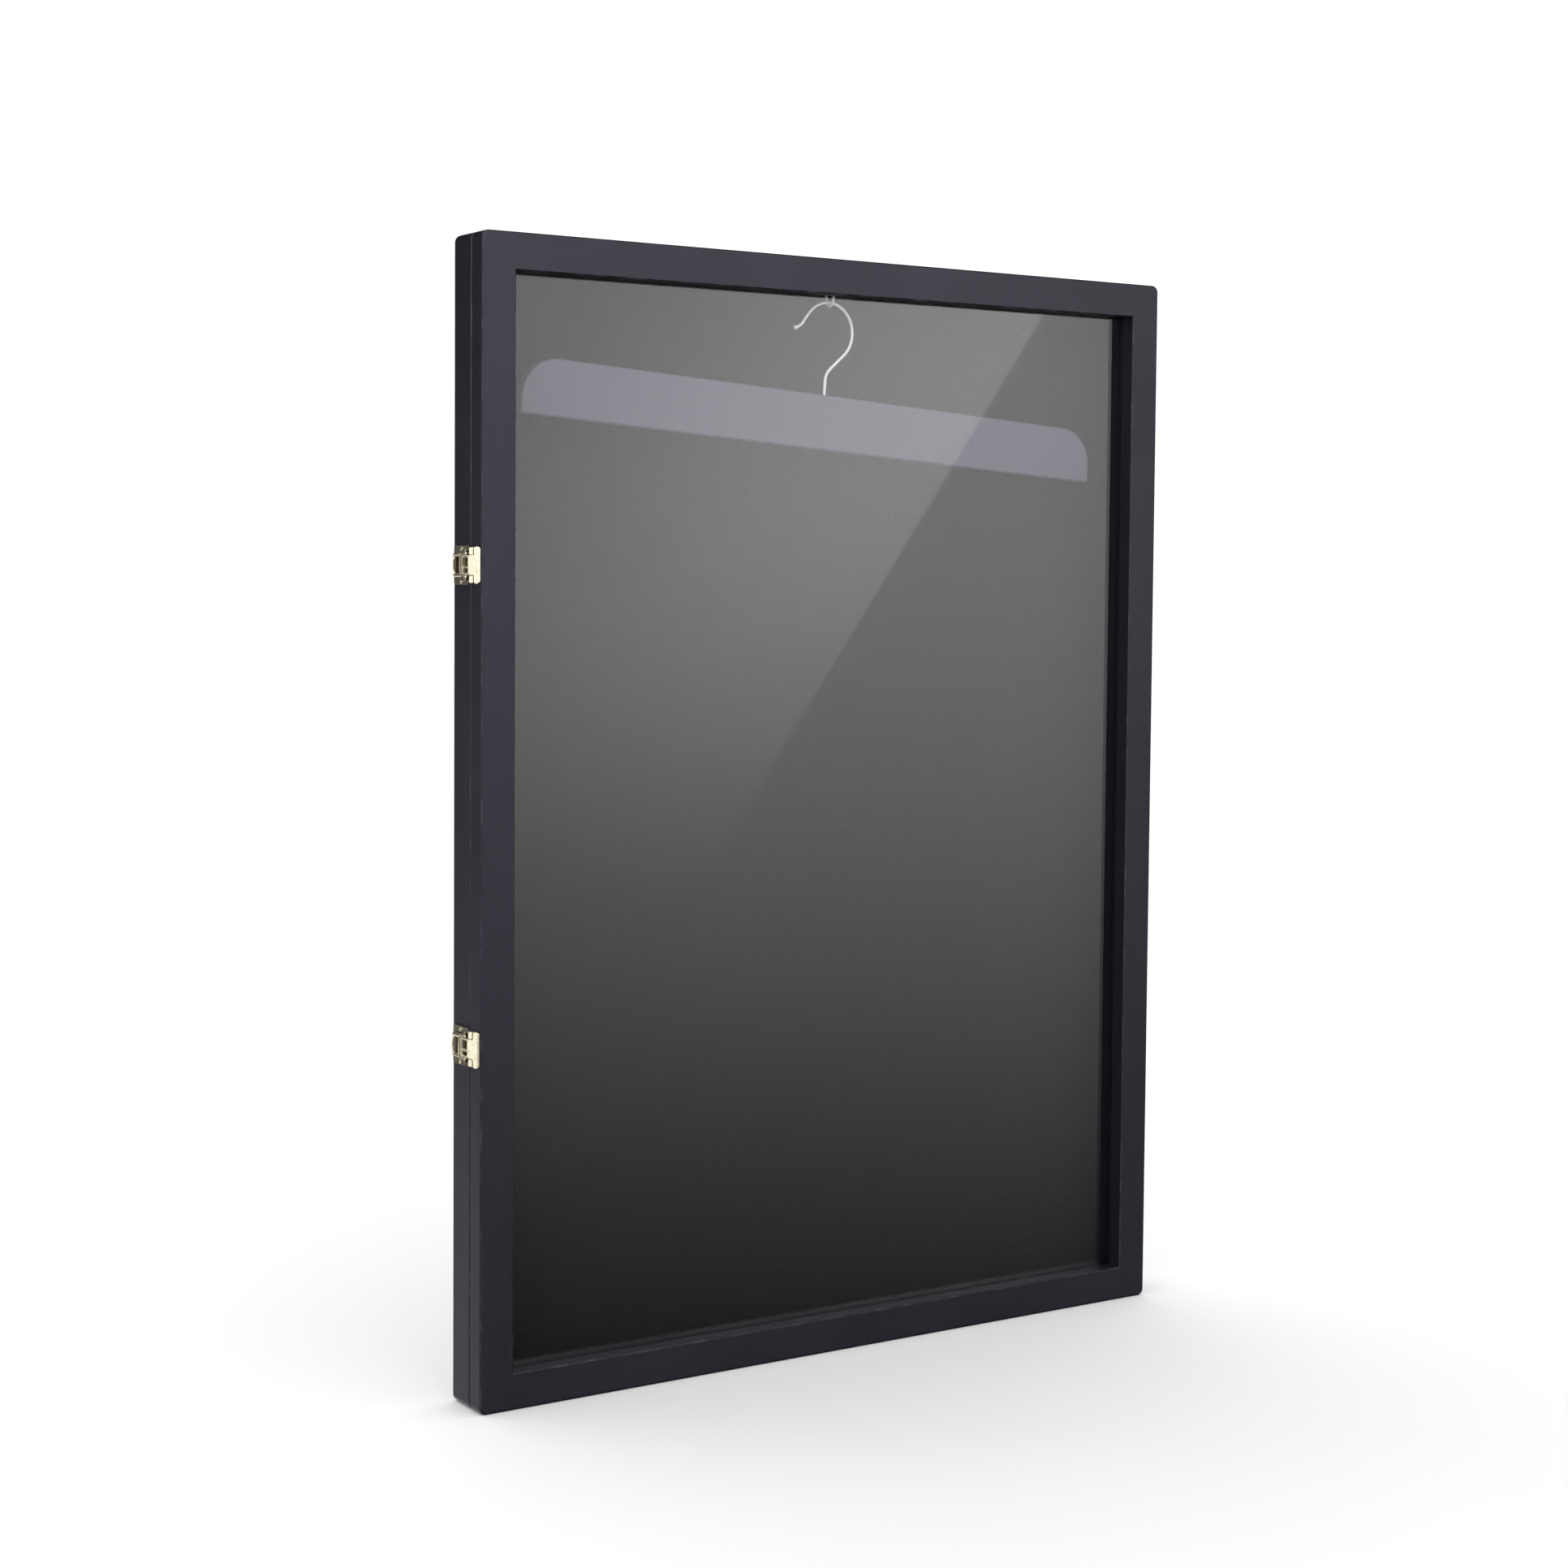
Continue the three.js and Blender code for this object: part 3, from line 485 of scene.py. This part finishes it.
def combine(base, tools, operation="UNION"):
    """base joined with each tool, or cut by it."""
    holders = []
    for shape in (base, *tools):
        mesh = bpy.data.meshes.new("shape")
        shape.to_mesh(mesh)
        shape.free()
        holders.append(bpy.data.objects.new("shape", mesh))
        SCENE.collection.objects.link(holders[-1])
    for tool in holders[1:]:
        modifier = holders[0].modifiers.new("combine", "BOOLEAN")
        modifier.operation = operation
        modifier.solver = "EXACT"
        modifier.object = tool
    made = shape_of(holders[0])
    for tool in holders[1:]:
        bpy.data.objects.remove(tool)
    return made


def turned(shape, matrix):
    shape.transform(matrix)
    return shape


def merged(shapes):
    """Separate closed bodies in one bmesh."""
    whole = bmesh.new()
    for shape in shapes:
        mesh = bpy.data.meshes.new("part")
        shape.to_mesh(mesh)
        shape.free()
        whole.from_mesh(mesh)
        bpy.data.meshes.remove(mesh)
    return whole


def add_piece(name, shape, place, body, material, replaces=(), edge=0.0):
    """Makes a shape drawn in millimetres a piece of the object, and leaves the shape as it is."""
    mesh = bpy.data.meshes.new(name)
    shape.to_mesh(mesh)
    mesh.transform(place @ Matrix.Scale(MM, 4))
    piece = bpy.data.objects.new(name, mesh)
    SCENE.collection.objects.link(piece)
    assign(piece, material)
    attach(piece, body)
    if replaces:
        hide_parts(*replaces)
    if edge:
        round_edges(piece, edge)
    smooth(piece)
    return piece


SIDEWAYS = Matrix(((0, 0, 1, 0), (1, 0, 0, 0), (0, 1, 0, 0), (0, 0, 0, 1)))  # drawn on the side's face


# ---- Screws ----
PAN_HEAD = ((1, 0.02), (1, 0.3), (0.94, 0.6), (0.75, 0.86), (0.42, 0.97))  # shares of radius and height
SLOT = [(1.2, 0.14)]  # each groove of the drive: its half length and half width, as shares of the radius
CROSS = [(0.62, 0.12), (0.12, 0.62)]


def screw(radius, height, length, drive, depth=0.6):
    """A pan-headed screw along Z, with its head's underside at z = 0."""
    shank = radius * 0.5
    profile = [(0, -length), (shank * 0.5, -length + shank), (shank, -length + 3 * shank), (shank, 0)]
    profile += [(radius * r, height * z) for r, z in PAN_HEAD]
    head = lathe([*profile, (0, height)])
    grooves = []
    for half_length, half_width in drive:
        x, y = radius * half_length, radius * half_width
        grooves.append(plate([[(-x, -y), (x, -y), (x, y), (-x, y)]], height * (1 - depth), height * 2))
    return combine(head, grooves, "DIFFERENCE")


FIRST_SPIN = 23  # of the drives, so that no two screws stand alike
SPIN_STEP = 47
AXES = {"y": Matrix.Rotation(math.radians(-90), 4, "X"), "-x": Matrix.Rotation(math.radians(-90), 4, "Y")}


def add_screws(prefix, nodes, axis, head_height, drive, body, material):
    """Screws with a drive in place of plain CAD ones, whose heads face along an axis."""
    low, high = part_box(nodes[0])
    size = (high - low) / MM
    along = {"y": size.y, "-x": size.x}[axis]
    shape = screw(size.z / 2, head_height, along - head_height, drive)
    for i, node in enumerate(nodes):
        low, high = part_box(node)
        seat = (low + high) / 2
        if axis == "y":
            seat.y = high.y - head_height * MM
        else:
            seat.x = low.x + head_height * MM
        spin = Matrix.Rotation(math.radians(FIRST_SPIN + SPIN_STEP * i), 4, "Z")
        place = Matrix.Translation(seat) @ AXES[axis] @ spin
        add_piece(f"{prefix}_{node}", shape, place, body, material, [node])
    shape.free()


def nodes_like(start):
    return sorted(node for node in NODES if node.startswith(start))


# ---- Latches ----
PIVOT = Vector((2.8, 23.2))  # of the lever in its base: out from the side, and forward from the wall
LOOP_PIN = Vector((2.8, 18.8))
SLOPE = math.tan(math.radians(7.6))  # of the loop's tongue and head, down to the front
LEVER_HALF = 8.2
LEVER_Y = (4.4, 16.0)
LEVER_RIM = 3.2
LEVER_LOWEST = 2.2
LEVER_DOME = 1.1
LATCH_EDGE = 0.00015
LEVER_EDGE = 0.00009


def lever_height(y, z):
    """The outer face of the lever: domed, with a ridge along each side and a rolled lip at its rear."""
    z = abs(z)
    lip = min(max((7.6 - y) / 1.8, 0), 1)
    dome = LEVER_DOME * (1 - (z / LEVER_HALF) ** 2) * (0.45 + 0.55 * lip)
    ridge = 0.42 * math.exp(-(((z - 7.1) / 0.62) ** 2)) * (1 - 0.6 * lip)
    roll = 1.3 * max(0, (6.2 - y) / 1.8) ** 2
    shoulder = 0.9 * max(0, (z - 7.4) / 0.8) ** 2
    return max(LEVER_RIM + dome + ridge - roll - shoulder, LEVER_LOWEST)


def domed_skin(rows=26, columns=44, thickness=0.85):
    """The lever's pressed skin as a closed sheet."""
    shape = bmesh.new()
    sides = []
    for drop in (0, thickness):
        grid = []
        for i in range(rows + 1):
            y = LEVER_Y[0] + (LEVER_Y[1] - LEVER_Y[0]) * i / rows
            heights = [LEVER_HALF * (2 * j / columns - 1) for j in range(columns + 1)]
            grid.append([shape.verts.new((lever_height(y, z) - drop, y, z)) for z in heights])
        sides.append(grid)
    for grid in sides:
        for low, high in zip(grid, grid[1:]):
            for j in range(columns):
                shape.faces.new((low[j], low[j + 1], high[j + 1], high[j]))
    for edge in border_edges(shape, sides[0]):
        shape.faces.new(edge)
    bmesh.ops.recalc_face_normals(shape, faces=shape.faces)
    return shape


def border_edges(shape, top):
    """The four corners of each wall between the two grids of a skin, in order round its border."""
    shape.verts.ensure_lookup_table()
    shape.verts.index_update()
    half = len(shape.verts) // 2
    ring = [*top[0], *[row[-1] for row in top[1:]], *top[-1][-2::-1], *[row[0] for row in top[-2:0:-1]]]
    for a, b in zip(ring, ring[1:] + ring[:1]):
        yield (a, b, shape.verts[b.index + half], shape.verts[a.index + half])


def latch_lever():
    points = [(1.5, 6.4), (2.1, 5.0), (2.9, 5.0), (2.9, 16.0), (4.15, 18.4), (4.15, 24.55), (1.45, 24.55)]
    cheek = fillet(points, [0.5, 0.3, 0.3, 0.8, 0.8, 1.3, 1.3])
    parts = []
    for sign in (-1, 1):
        parts.append(plate([cheek], *sorted((sign * 7.1, sign * LEVER_HALF))))
        trunnion = circle(*PIVOT, 0.75)
        parts.append(plate([trunnion], *sorted((sign * 7.6, sign * 10.15))))
    window = turned(plate([rectangle(7.5, 13.9, -5.5, 5.5, 1.1)], -2, 8), SIDEWAYS)
    return merged([combine(domed_skin(), [window], "DIFFERENCE"), *parts])


def latch_loop():
    """A T cut from sheet, with two windows in its stem and its rear rolled round its pin."""
    outline = [(19.3, -6.6), (33.7, -6.6), (34, -12.25), (38.8, -12.25)]
    outline += [(y, -z) for y, z in reversed(outline)]
    radii = [0.2, 0.4, 0.7, 0.9, 0.9, 0.7, 0.4, 0.2]
    windows = [rectangle(20.8, 27.2, -5.2, -2.3, 0.5), rectangle(20.8, 27.2, -0.7, 5.2, 0.5)]
    tee = plate([fillet(outline, radii), *windows], -0.4, 0.4)
    for y in (27.2, 30.6, 34, 36.4):
        everything = [*tee.verts, *tee.edges, *tee.faces]
        bmesh.ops.bisect_plane(tee, geom=everything, plane_co=(y, 0, 0), plane_no=(1, 0, 0))
    for vertex in tee.verts:
        y = vertex.co.x
        stem = 3.5 - 0.45 * min(max((y - 19.5) / 7.7, 0), 1)
        vertex.co.z += stem - SLOPE * max(y - 27.2, 0)
    knuckle = plate([circle(*LOOP_PIN, 1.25), circle(*LOOP_PIN, 0.6)], -6.6, 6.6)
    return merged([knuckle, turned(tee, SIDEWAYS)])


def latch_base():
    holes = [circle(13.5, z, 1.1) for z in (-11, 11)]
    parts = []
    for sign in (-1, 1):
        curb = rectangle(3.6, 22, *sorted((sign * 12.2, sign * 13.1)), 0.35)
        parts.append(turned(plate([curb], 0.7, 1.6), SIDEWAYS))
        lug = fillet([(0.5, 21.0), (4.7, 21.3), (4.7, 25.1), (0.5, 24.0)], [0.4, 1.5, 1.5, 0.4])
        parts.append(plate([lug, circle(*PIVOT, 0.8)], *sorted((sign * 8.6, sign * 9.9))))
    sheet = plate([rectangle(2.2, 24.2, -13.25, 13.25, 2), *holes], 0.3, 1.1)
    return merged([turned(sheet, SIDEWAYS), *parts])


def latch_catch():
    """The plate on the door, with two ears that the loop's head hooks over."""
    ears = []
    for sign in (-1, 1):
        ear = plate([rectangle(28.4, 32.8, *sorted((sign * 7, sign * 11.9)), 1.2)], 0.6, 2.95)
        for vertex in ear.verts:
            if vertex.co.z > 1.5:
                vertex.co.z -= SLOPE * (vertex.co.x - 30.6)
        ears.append(turned(ear, SIDEWAYS))
    rivets = [circle(36.4, z, 0.9) for z in (-9.4, 9.4)]
    slits = [rectangle(33.0, 34.1, *sorted((sign * 7.2, sign * 11.5)), 0.2) for sign in (-1, 1)]
    sheet = plate([rectangle(28.4, 38.8, -12, 12, 1.2), *rivets, *slits], 0.3, 1.0)
    return combine(turned(sheet, SIDEWAYS), ears)


def add_latches():
    parts = {
        "base": (latch_base(), "case"),
        "lever": (latch_lever(), "latch_{}_lever"),
        "loop": (latch_loop(), "latch_{}_loop"),
        "catch": (latch_catch(), "door"),
    }
    for side in ("upper", "lower"):
        low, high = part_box(f"latch_{side}_base")
        place = Matrix.Translation((LEFT, 0, (low.z + high.z) / 2)) @ Matrix.Rotation(math.pi, 4, "Z")
        for part, (shape, body) in parts.items():
            name = f"latch_{side}_{part}"
            # The bases take the darkened brass, which paints their shade.
            metal_of_part = SHADE_DARKENED_BRASS if part == "base" else BRASS
            edge = LEVER_EDGE if part == "lever" else LATCH_EDGE
            rides_on = body.format(side)
            add_piece(f"pressed_{name}", shape, place, rides_on, metal_of_part, [name], edge)
        screws = nodes_like(f"latch_{side}_screw")
        add_screws("slotted", screws, "-x", 0.9, SLOT, "case", BRASS)
    for shape, _ in parts.values():
        shape.free()


# ---- Hanger ----
HANGER_TILT = math.radians(4)
HOOK_WIRE = 1.15
HOOK_RADIUS = 21.3
HOOK_TIP_BALL = 1.75
EYE_WIRE = 1.0
EYE_BEND = 4.5
BAR_LENGTH = 19.7 * 25.4
BAR_HEIGHT = 40
BAR_DROP = 65
BAR_CORNER = 28
BAR_EDGE = 1.6
SHANK_IN_BAR = 11


def smooth_line(points, steps=5):
    """A Catmull-Rom line through the points."""
    line = []
    ends = [2 * points[0] - points[1], *points, 2 * points[-1] - points[-2]]
    for a, b, c, d in zip(ends, ends[1:], ends[2:], ends[3:]):
        for k in range(steps):
            t = k / steps
            bend, twist = 2 * a - 5 * b + 4 * c - d, 3 * b - a - 3 * c + d
            line.append(0.5 * (2 * b + (c - a) * t + bend * t**2 + twist * t**3))
    return [*line, points[-1]]


def hook_shape():
    """The hook from its tip to its shank, with the eye's wire at the origin. The tip is a small ball."""
    centre = 2 * EYE_WIRE + HOOK_WIRE + 0.3 - EYE_WIRE - HOOK_RADIUS
    tip = Vector((-28.8, 0, centre - 0.2))
    points = [tip]
    for x, rise in ((-25.6, 1.6), (-23.2, 3.8), (-20.6, 8)):
        points.append(Vector((x, 0, centre + rise)))
    for k in range(15):
        angle = math.radians(145 - 190 * k / 14)
        points.append(Vector((HOOK_RADIUS * math.cos(angle), 0, centre + HOOK_RADIUS * math.sin(angle))))
    for x, drop in ((8.6, 21.6), (2.9, 27.4), (0.4, 32.2), (0, 37)):
        points.append(Vector((x, 0, centre - drop)))
    points.append(Vector((0, 0, -BAR_DROP)))
    points.append(Vector((0, 0, -BAR_DROP - SHANK_IN_BAR)))
    ball = bmesh.new()
    bmesh.ops.create_uvsphere(ball, u_segments=24, v_segments=14, radius=HOOK_TIP_BALL)
    ball.transform(Matrix.Translation(tip))
    return combine(tube(smooth_line(points), HOOK_WIRE), [ball])


def eye_shape(top):
    """A staple bent from wire, with its bend under the rail. top is the height of its ends."""
    arc = []
    for k in range(13):
        angle = math.pi * (1 + k / 12)
        arc.append(Vector((0, EYE_BEND * math.cos(angle), EYE_BEND * (1 + math.sin(angle)))))
    ends = [Vector((0, -EYE_BEND, top)), Vector((0, EYE_BEND, top))]
    knees = [Vector((0, -EYE_BEND, EYE_BEND + 1.5)), Vector((0, EYE_BEND, EYE_BEND + 1.5))]
    return tube([ends[0], knees[0], *smooth_line(arc, 3), knees[1], ends[1]], EYE_WIRE)


def bar_shape(half, height, thickness):
    """The flat bar: large round shoulders, square lower corners and softly rounded edges."""
    corners = [(-half, -BAR_DROP - height), (half, -BAR_DROP - height), (half, -BAR_DROP), (-half, -BAR_DROP)]
    shoulders = []
    for sign, start in ((1, 0), (-1, 90)):
        for k in range(19):
            angle = math.radians(start + 5 * k)
            x, z = BAR_CORNER * math.cos(angle), BAR_CORNER * math.sin(angle)
            shoulders.append(Vector((sign * (half - BAR_CORNER) + x, -BAR_DROP - BAR_CORNER + z)))
    feet = fillet(corners, BAR_EDGE + 0.4)[:12]
    slab = plate([[*feet, *shoulders]], -thickness / 2, thickness / 2, BAR_EDGE)
    bar = turned(slab, Matrix.Rotation(math.radians(90), 4, "X"))
    depth = BAR_DROP + SHANK_IN_BAR + 0.6
    bore = plate([circle(0, 0, HOOK_WIRE + 0.3)], -depth, -BAR_DROP + 5)
    return combine(bar, [bore], "DIFFERENCE")


def joint_place(name):
    return Vector(next(joint["pos_m"] for joint in frame["joints"] if joint["name"] == name))


def add_hanger():
    eye = Matrix.Translation(joint_place("hanger_swing"))
    hung = eye @ Matrix.Rotation(HANGER_TILT, 4, "Y")
    low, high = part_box("hanger_bar")
    thickness = (high.y - low.y) / MM
    staple_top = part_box("hanger_eye")[1].z - joint_place("hanger_swing").z
    staple, hook = eye_shape(staple_top / MM), hook_shape()
    bar = bar_shape(BAR_LENGTH / 2, BAR_HEIGHT, thickness)
    add_piece("bent_hanger_eye", staple, eye, "case", WIRE, ["hanger_eye"])
    add_piece("bent_hanger_hook", hook, hung, "hanger_hook", WIRE, ["hanger_hook"])
    add_piece("rounded_hanger_bar", bar, hung, "hanger_bar", BAR_PLASTIC, ["hanger_bar"])
    for shape in (staple, hook, bar):
        shape.free()


# ---- Fabric over the backing board ----
SWELLS_A_METRE = 14
FABRIC_SWELL = 0.00022
FABRIC_TURN = 0.00035  # how far its edges are turned back


def add_fabric(rows=72, columns=54):
    """Cloth glued over the board, very slightly uneven, with its edges turned down."""
    low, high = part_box("backing_fabric")
    shape = bmesh.new()
    grids = []
    for front in (True, False):
        grid = []
        for i in range(rows + 1):
            row = []
            for j in range(columns + 1):
                u, v = j / columns, i / rows
                x, z = low.x + (high.x - low.x) * u, low.z + (high.z - low.z) * v
                edge = min(u, 1 - u) * columns * min(v, 1 - v) * rows
                swell = 0.5 + 0.5 * noise_at(Vector((x * SWELLS_A_METRE, 0, z * SWELLS_A_METRE)))
                y = low.y + FABRIC_SWELL * swell if front else high.y
                row.append(shape.verts.new((x, y + (FABRIC_TURN if front and not edge else 0), z)))
            grid.append(row)
        grids.append(grid)
    for grid in grids:
        for lower, upper in zip(grid, grid[1:]):
            for j in range(columns):
                shape.faces.new((lower[j], lower[j + 1], upper[j + 1], upper[j]))
    for corners in border_edges(shape, grids[0]):
        shape.faces.new(corners)
    bmesh.ops.recalc_face_normals(shape, faces=shape.faces)
    place = Matrix.Scale(1 / MM, 4)
    cloth = add_piece("stretched_backing_fabric", shape, place, "case", FELT, ["backing_fabric"])
    shape.free()


# ---- Glue in the mitres ----
CORNER_RADIUS = 5
GLUE_INSET = 0.05
GLUE_HALF = 0.1
DOOR_SECTION = [(0, -25.54), (0, -38.84), (0.53, -40.11), (1.8, -40.64), (24.6, -40.64), (25.4, -39.84)]
DOOR_SECTION += [(25.4, -28.24), (18.4, -28.24), (18.4, -24.94), (0.6, -24.94)]
CASE_SECTION = [(0, -0.6), (0, -23.84), (0.6, -24.44), (21, -24.44), (21, -3.3), (14, -3.3)]
CASE_SECTION += [(14, 0), (0.6, 0)]


def pulled(value, middle):
    return value + math.copysign(GLUE_INSET, middle - value)


def shrunk(section):
    """A section moved in by the glue's inset, so that the joint shows as a hairline."""
    middle_inset = sum(x for x, _ in section) / len(section)
    middle_y = sum(y for _, y in section) / len(section)
    return [(pulled(x, middle_inset), pulled(y, middle_y)) for x, y in section]


def on_mitre(inset):
    """How far in from both outer sides a point of the mitre lies, for its inset in the section."""
    if inset >= CORNER_RADIUS:
        return inset
    return CORNER_RADIUS - (CORNER_RADIUS - inset) * math.cos(math.pi / 4)


def add_mitre_glue(name, section, body):
    whole = bmesh.new()
    half_width, half_height = RIGHT / MM, TOP / MM
    for sx in (-1, 1):
        for sz in (-1, 1):
            sides = []
            for shift in (-GLUE_HALF, GLUE_HALF):
                ring = []
                for inset, y in shrunk(section):
                    m = on_mitre(inset)
                    x = sx * (half_width - m) + sx * shift * math.sqrt(0.5)
                    z = sz * (half_height - m) - sz * shift * math.sqrt(0.5)
                    ring.append(whole.verts.new((x, y, z)))
                sides.append(ring)
                whole.faces.new(ring)
            for k in range(len(section)):
                n = (k + 1) % len(section)
                whole.faces.new((sides[0][k], sides[0][n], sides[1][n], sides[1][k]))
    bmesh.ops.recalc_face_normals(whole, faces=whole.faces)
    add_piece(name, whole, Matrix.Identity(4), body, STILE_LACQUER)
    whole.free()


# ---- Small hidden hardware ----
LEAF_SCREW_INSET = 7.5  # in from the right side
LEAF_SCREW_SINK = 0.45  # from the hinge's axis to the heads' undersides
BRAD = [(0, -6), (0.35, -5), (0.35, -0.2), (0.8, -0.1), (0.75, 0.05), (0.4, 0.1), (0, 0.12)]
BRADS = {"top": 4, "bottom": 4, "left": 5, "right": 5}


def add_leaf_screws():
    """Three flat screws in each hinge leaf. They show when the door is open."""
    axis = joint_place("door_hinge")
    for part, body, side in (("case", "case", 1), ("door", "door", -1)):
        for hinge in ("upper", "lower"):
            low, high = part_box(f"hinge_{part}_leaf_{hinge}")
            heads = []
            for i, share in enumerate((0.18, 0.5, 0.82)):
                shape = screw(1.9, 0.4, 8, CROSS)
                height = (low.z + (high.z - low.z) * share) / MM
                place = Matrix.Translation((RIGHT / MM - LEAF_SCREW_INSET, 0, height))
                turn = Matrix.Rotation(math.radians(90 * side), 4, "X") @ Matrix.Rotation(i * 0.7, 4, "Z")
                sunk = Matrix.Translation((0, axis.y / MM + side * LEAF_SCREW_SINK, 0))
                heads.append(turned(shape, place @ sunk @ turn))
            whole = merged(heads)
            name = f"hinge_{part}_screws_{hinge}"
            add_piece(name, whole, Matrix.Identity(4), body, BRASS)
            whole.free()


def add_brads():
    """Small brads through the strips that hold the pane."""
    pins = []
    for side, count in BRADS.items():
        low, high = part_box(f"pane_retainer_{side}")
        for k in range(count):
            share = (k + 0.5) / count
            upright = side in ("left", "right")
            x = (low.x + high.x) / 2 if upright else low.x + (high.x - low.x) * share
            z = low.z + (high.z - low.z) * share if upright else (low.z + high.z) / 2
            place = Matrix.Translation((x / MM, high.y / MM, z / MM)) @ AXES["y"]
            pins.append(turned(lathe(BRAD, 14), place))
    whole = merged(pins)
    add_piece("pane_brads", whole, Matrix.Identity(4), "door", ZINC)
    whole.free()


add_latches()
add_hanger()
add_fabric()
add_mitre_glue("door_mitre_glue", DOOR_SECTION, "door")
add_mitre_glue("case_mitre_glue", CASE_SECTION, "case")
add_screws("cross", nodes_like("back_screw"), "y", 0.8, CROSS, "case", ZINC)
add_screws("cross", nodes_like("keyhole_screw"), "y", 0.6, CROSS, "case", ZINC)
add_leaf_screws()
add_brads()


# ---- Stage: floor, world and lights ----
FLOOR_REACH = 14.0


def add_floor():
    mesh = bpy.data.meshes.new("floor")
    r = FLOOR_REACH
    corners = [(-r, -r), (r, -r), (r, r), (-r, r)]
    mesh.from_pydata([(x, y, BOTTOM) for x, y in corners], [], [(0, 1, 2, 3)])
    floor = bpy.data.objects.new("floor", mesh)
    SCENE.collection.objects.link(floor)
    material, tree, shader = surface("floor", {"Roughness": 0.9, "Specular IOR Level": 0.1})
    tone = mix(tree, noise(tree, 3, 2), (0.90, 0.90, 0.90, 1), (0.93, 0.93, 0.93, 1))
    plug(tree, shader, "Base Color", tone)
    assign(floor, material)
    floor.visible_glossy = False


SOFTBOX = 2.08  # brightness of the upper half of the studio as gloss sees it
GLARE_AZIMUTH = 36.3  # where the edge of the brighter panel crosses the horizon
GLARE_LEAN = 30.5  # of that edge, from upright
GLARE = 0.95  # the panel's added brightness along its edge
GLARE_REACH = 0.17  # how far from its edge it has faded out
EVEN_LIGHT = 1.2  # strength of the world to everything but gloss
DARK_SIDE = direction(-153, 0)  # the unlit part of the studio, behind and to the left


def dot(tree, vector, fixed):
    return add(tree, "ShaderNodeVectorMath", {0: vector, 1: fixed}, operation="DOT_PRODUCT").outputs["Value"]


def product(tree, *factors):
    total = factors[0]
    for factor in factors[1:]:
        total = math_of(tree, "MULTIPLY", total, factor)
    return total


def add_world():
    """White all round to the camera, an even white light, and a shaded studio to gloss."""
    world = bpy.data.worlds.new("studio")
    SCENE.world = world
    world.use_nodes = True
    tree = world.node_tree
    tree.nodes.clear()
    way = add(tree, "ShaderNodeTexCoord").outputs["Generated"]
    height = add(tree, "ShaderNodeSeparateXYZ", {0: way}).outputs["Z"]
    leftward = dot(tree, way, direction(GLARE_AZIMUTH - 90, 0))
    open_side = ramp(tree, leftward, -0.22, -0.045, 0.0, 1.0)
    near_side = ramp(tree, leftward, 0.04, 0.20, 1.0, 0.80)
    studio = product(tree, ramp(tree, height, -0.30, 0.08, 0.05, SOFTBOX), open_side, near_side)

    lean = math.radians(GLARE_LEAN)
    into_panel = direction(GLARE_AZIMUTH - 90, 0) * math.cos(lean) + Vector((0, 0, math.sin(lean)))
    depth = dot(tree, way, into_panel)
    inside = ramp(tree, depth, -0.0008, 0.0008)
    fading = ramp(tree, depth, 0.0, GLARE_REACH, GLARE, 0.0)
    front = ramp(tree, dot(tree, way, (0, -1, 0)), 0.0, 0.3)
    panel = product(tree, inside, fading, front, ramp(tree, height, -0.13, 0.06))
    studio = math_of(tree, "ADD", studio, panel)

    unlit = ramp(tree, height, -0.26, -0.10, 0.62, 0.01)
    dark_side = ramp(tree, dot(tree, way, DARK_SIDE), 0.20, 0.62)
    gloss = add(tree, "ShaderNodeMix", {0: dark_side, 2: studio, 3: unlit}, data_type="FLOAT").outputs[0]

    rays = add(tree, "ShaderNodeLightPath").outputs
    strengths = {0: rays["Is Glossy Ray"], 2: EVEN_LIGHT, 3: gloss}
    seen = add(tree, "ShaderNodeMix", strengths, data_type="FLOAT").outputs[0]
    background = add(tree, "ShaderNodeBackground", {"Color": (1, 1, 1, 1), "Strength": seen})
    tree.links.new(background.outputs[0], add(tree, "ShaderNodeOutputWorld").inputs["Surface"])


def add_softbox(name, way, distance, size, power, aim=(0, 0, 0)):
    """A rectangular light at a direction and distance from the point it is aimed at."""
    data = bpy.data.lights.new(name, "AREA")
    data.shape = "RECTANGLE"
    data.size, data.size_y = size
    data.energy = power
    light = bpy.data.objects.new(name, data)
    facing = way.to_track_quat("Z", "Y").to_matrix().to_4x4()
    light.matrix_world = Matrix.Translation(Vector(aim) + way * distance) @ facing
    light.visible_camera = False
    SCENE.collection.objects.link(light)


add_floor()
add_world()
add_softbox("key", direction(-55, 28), 1.6, (0.7, 0.7), 1.5, (LEFT, FRONT, 0.25))
add_softbox("brass_strip", direction(-131.5, 0), 2.4, (0.30, 1.3), 5.0, (LEFT, 0, 0))

SCENE.view_settings.view_transform = "Standard"
SCENE.view_settings.look = "None"
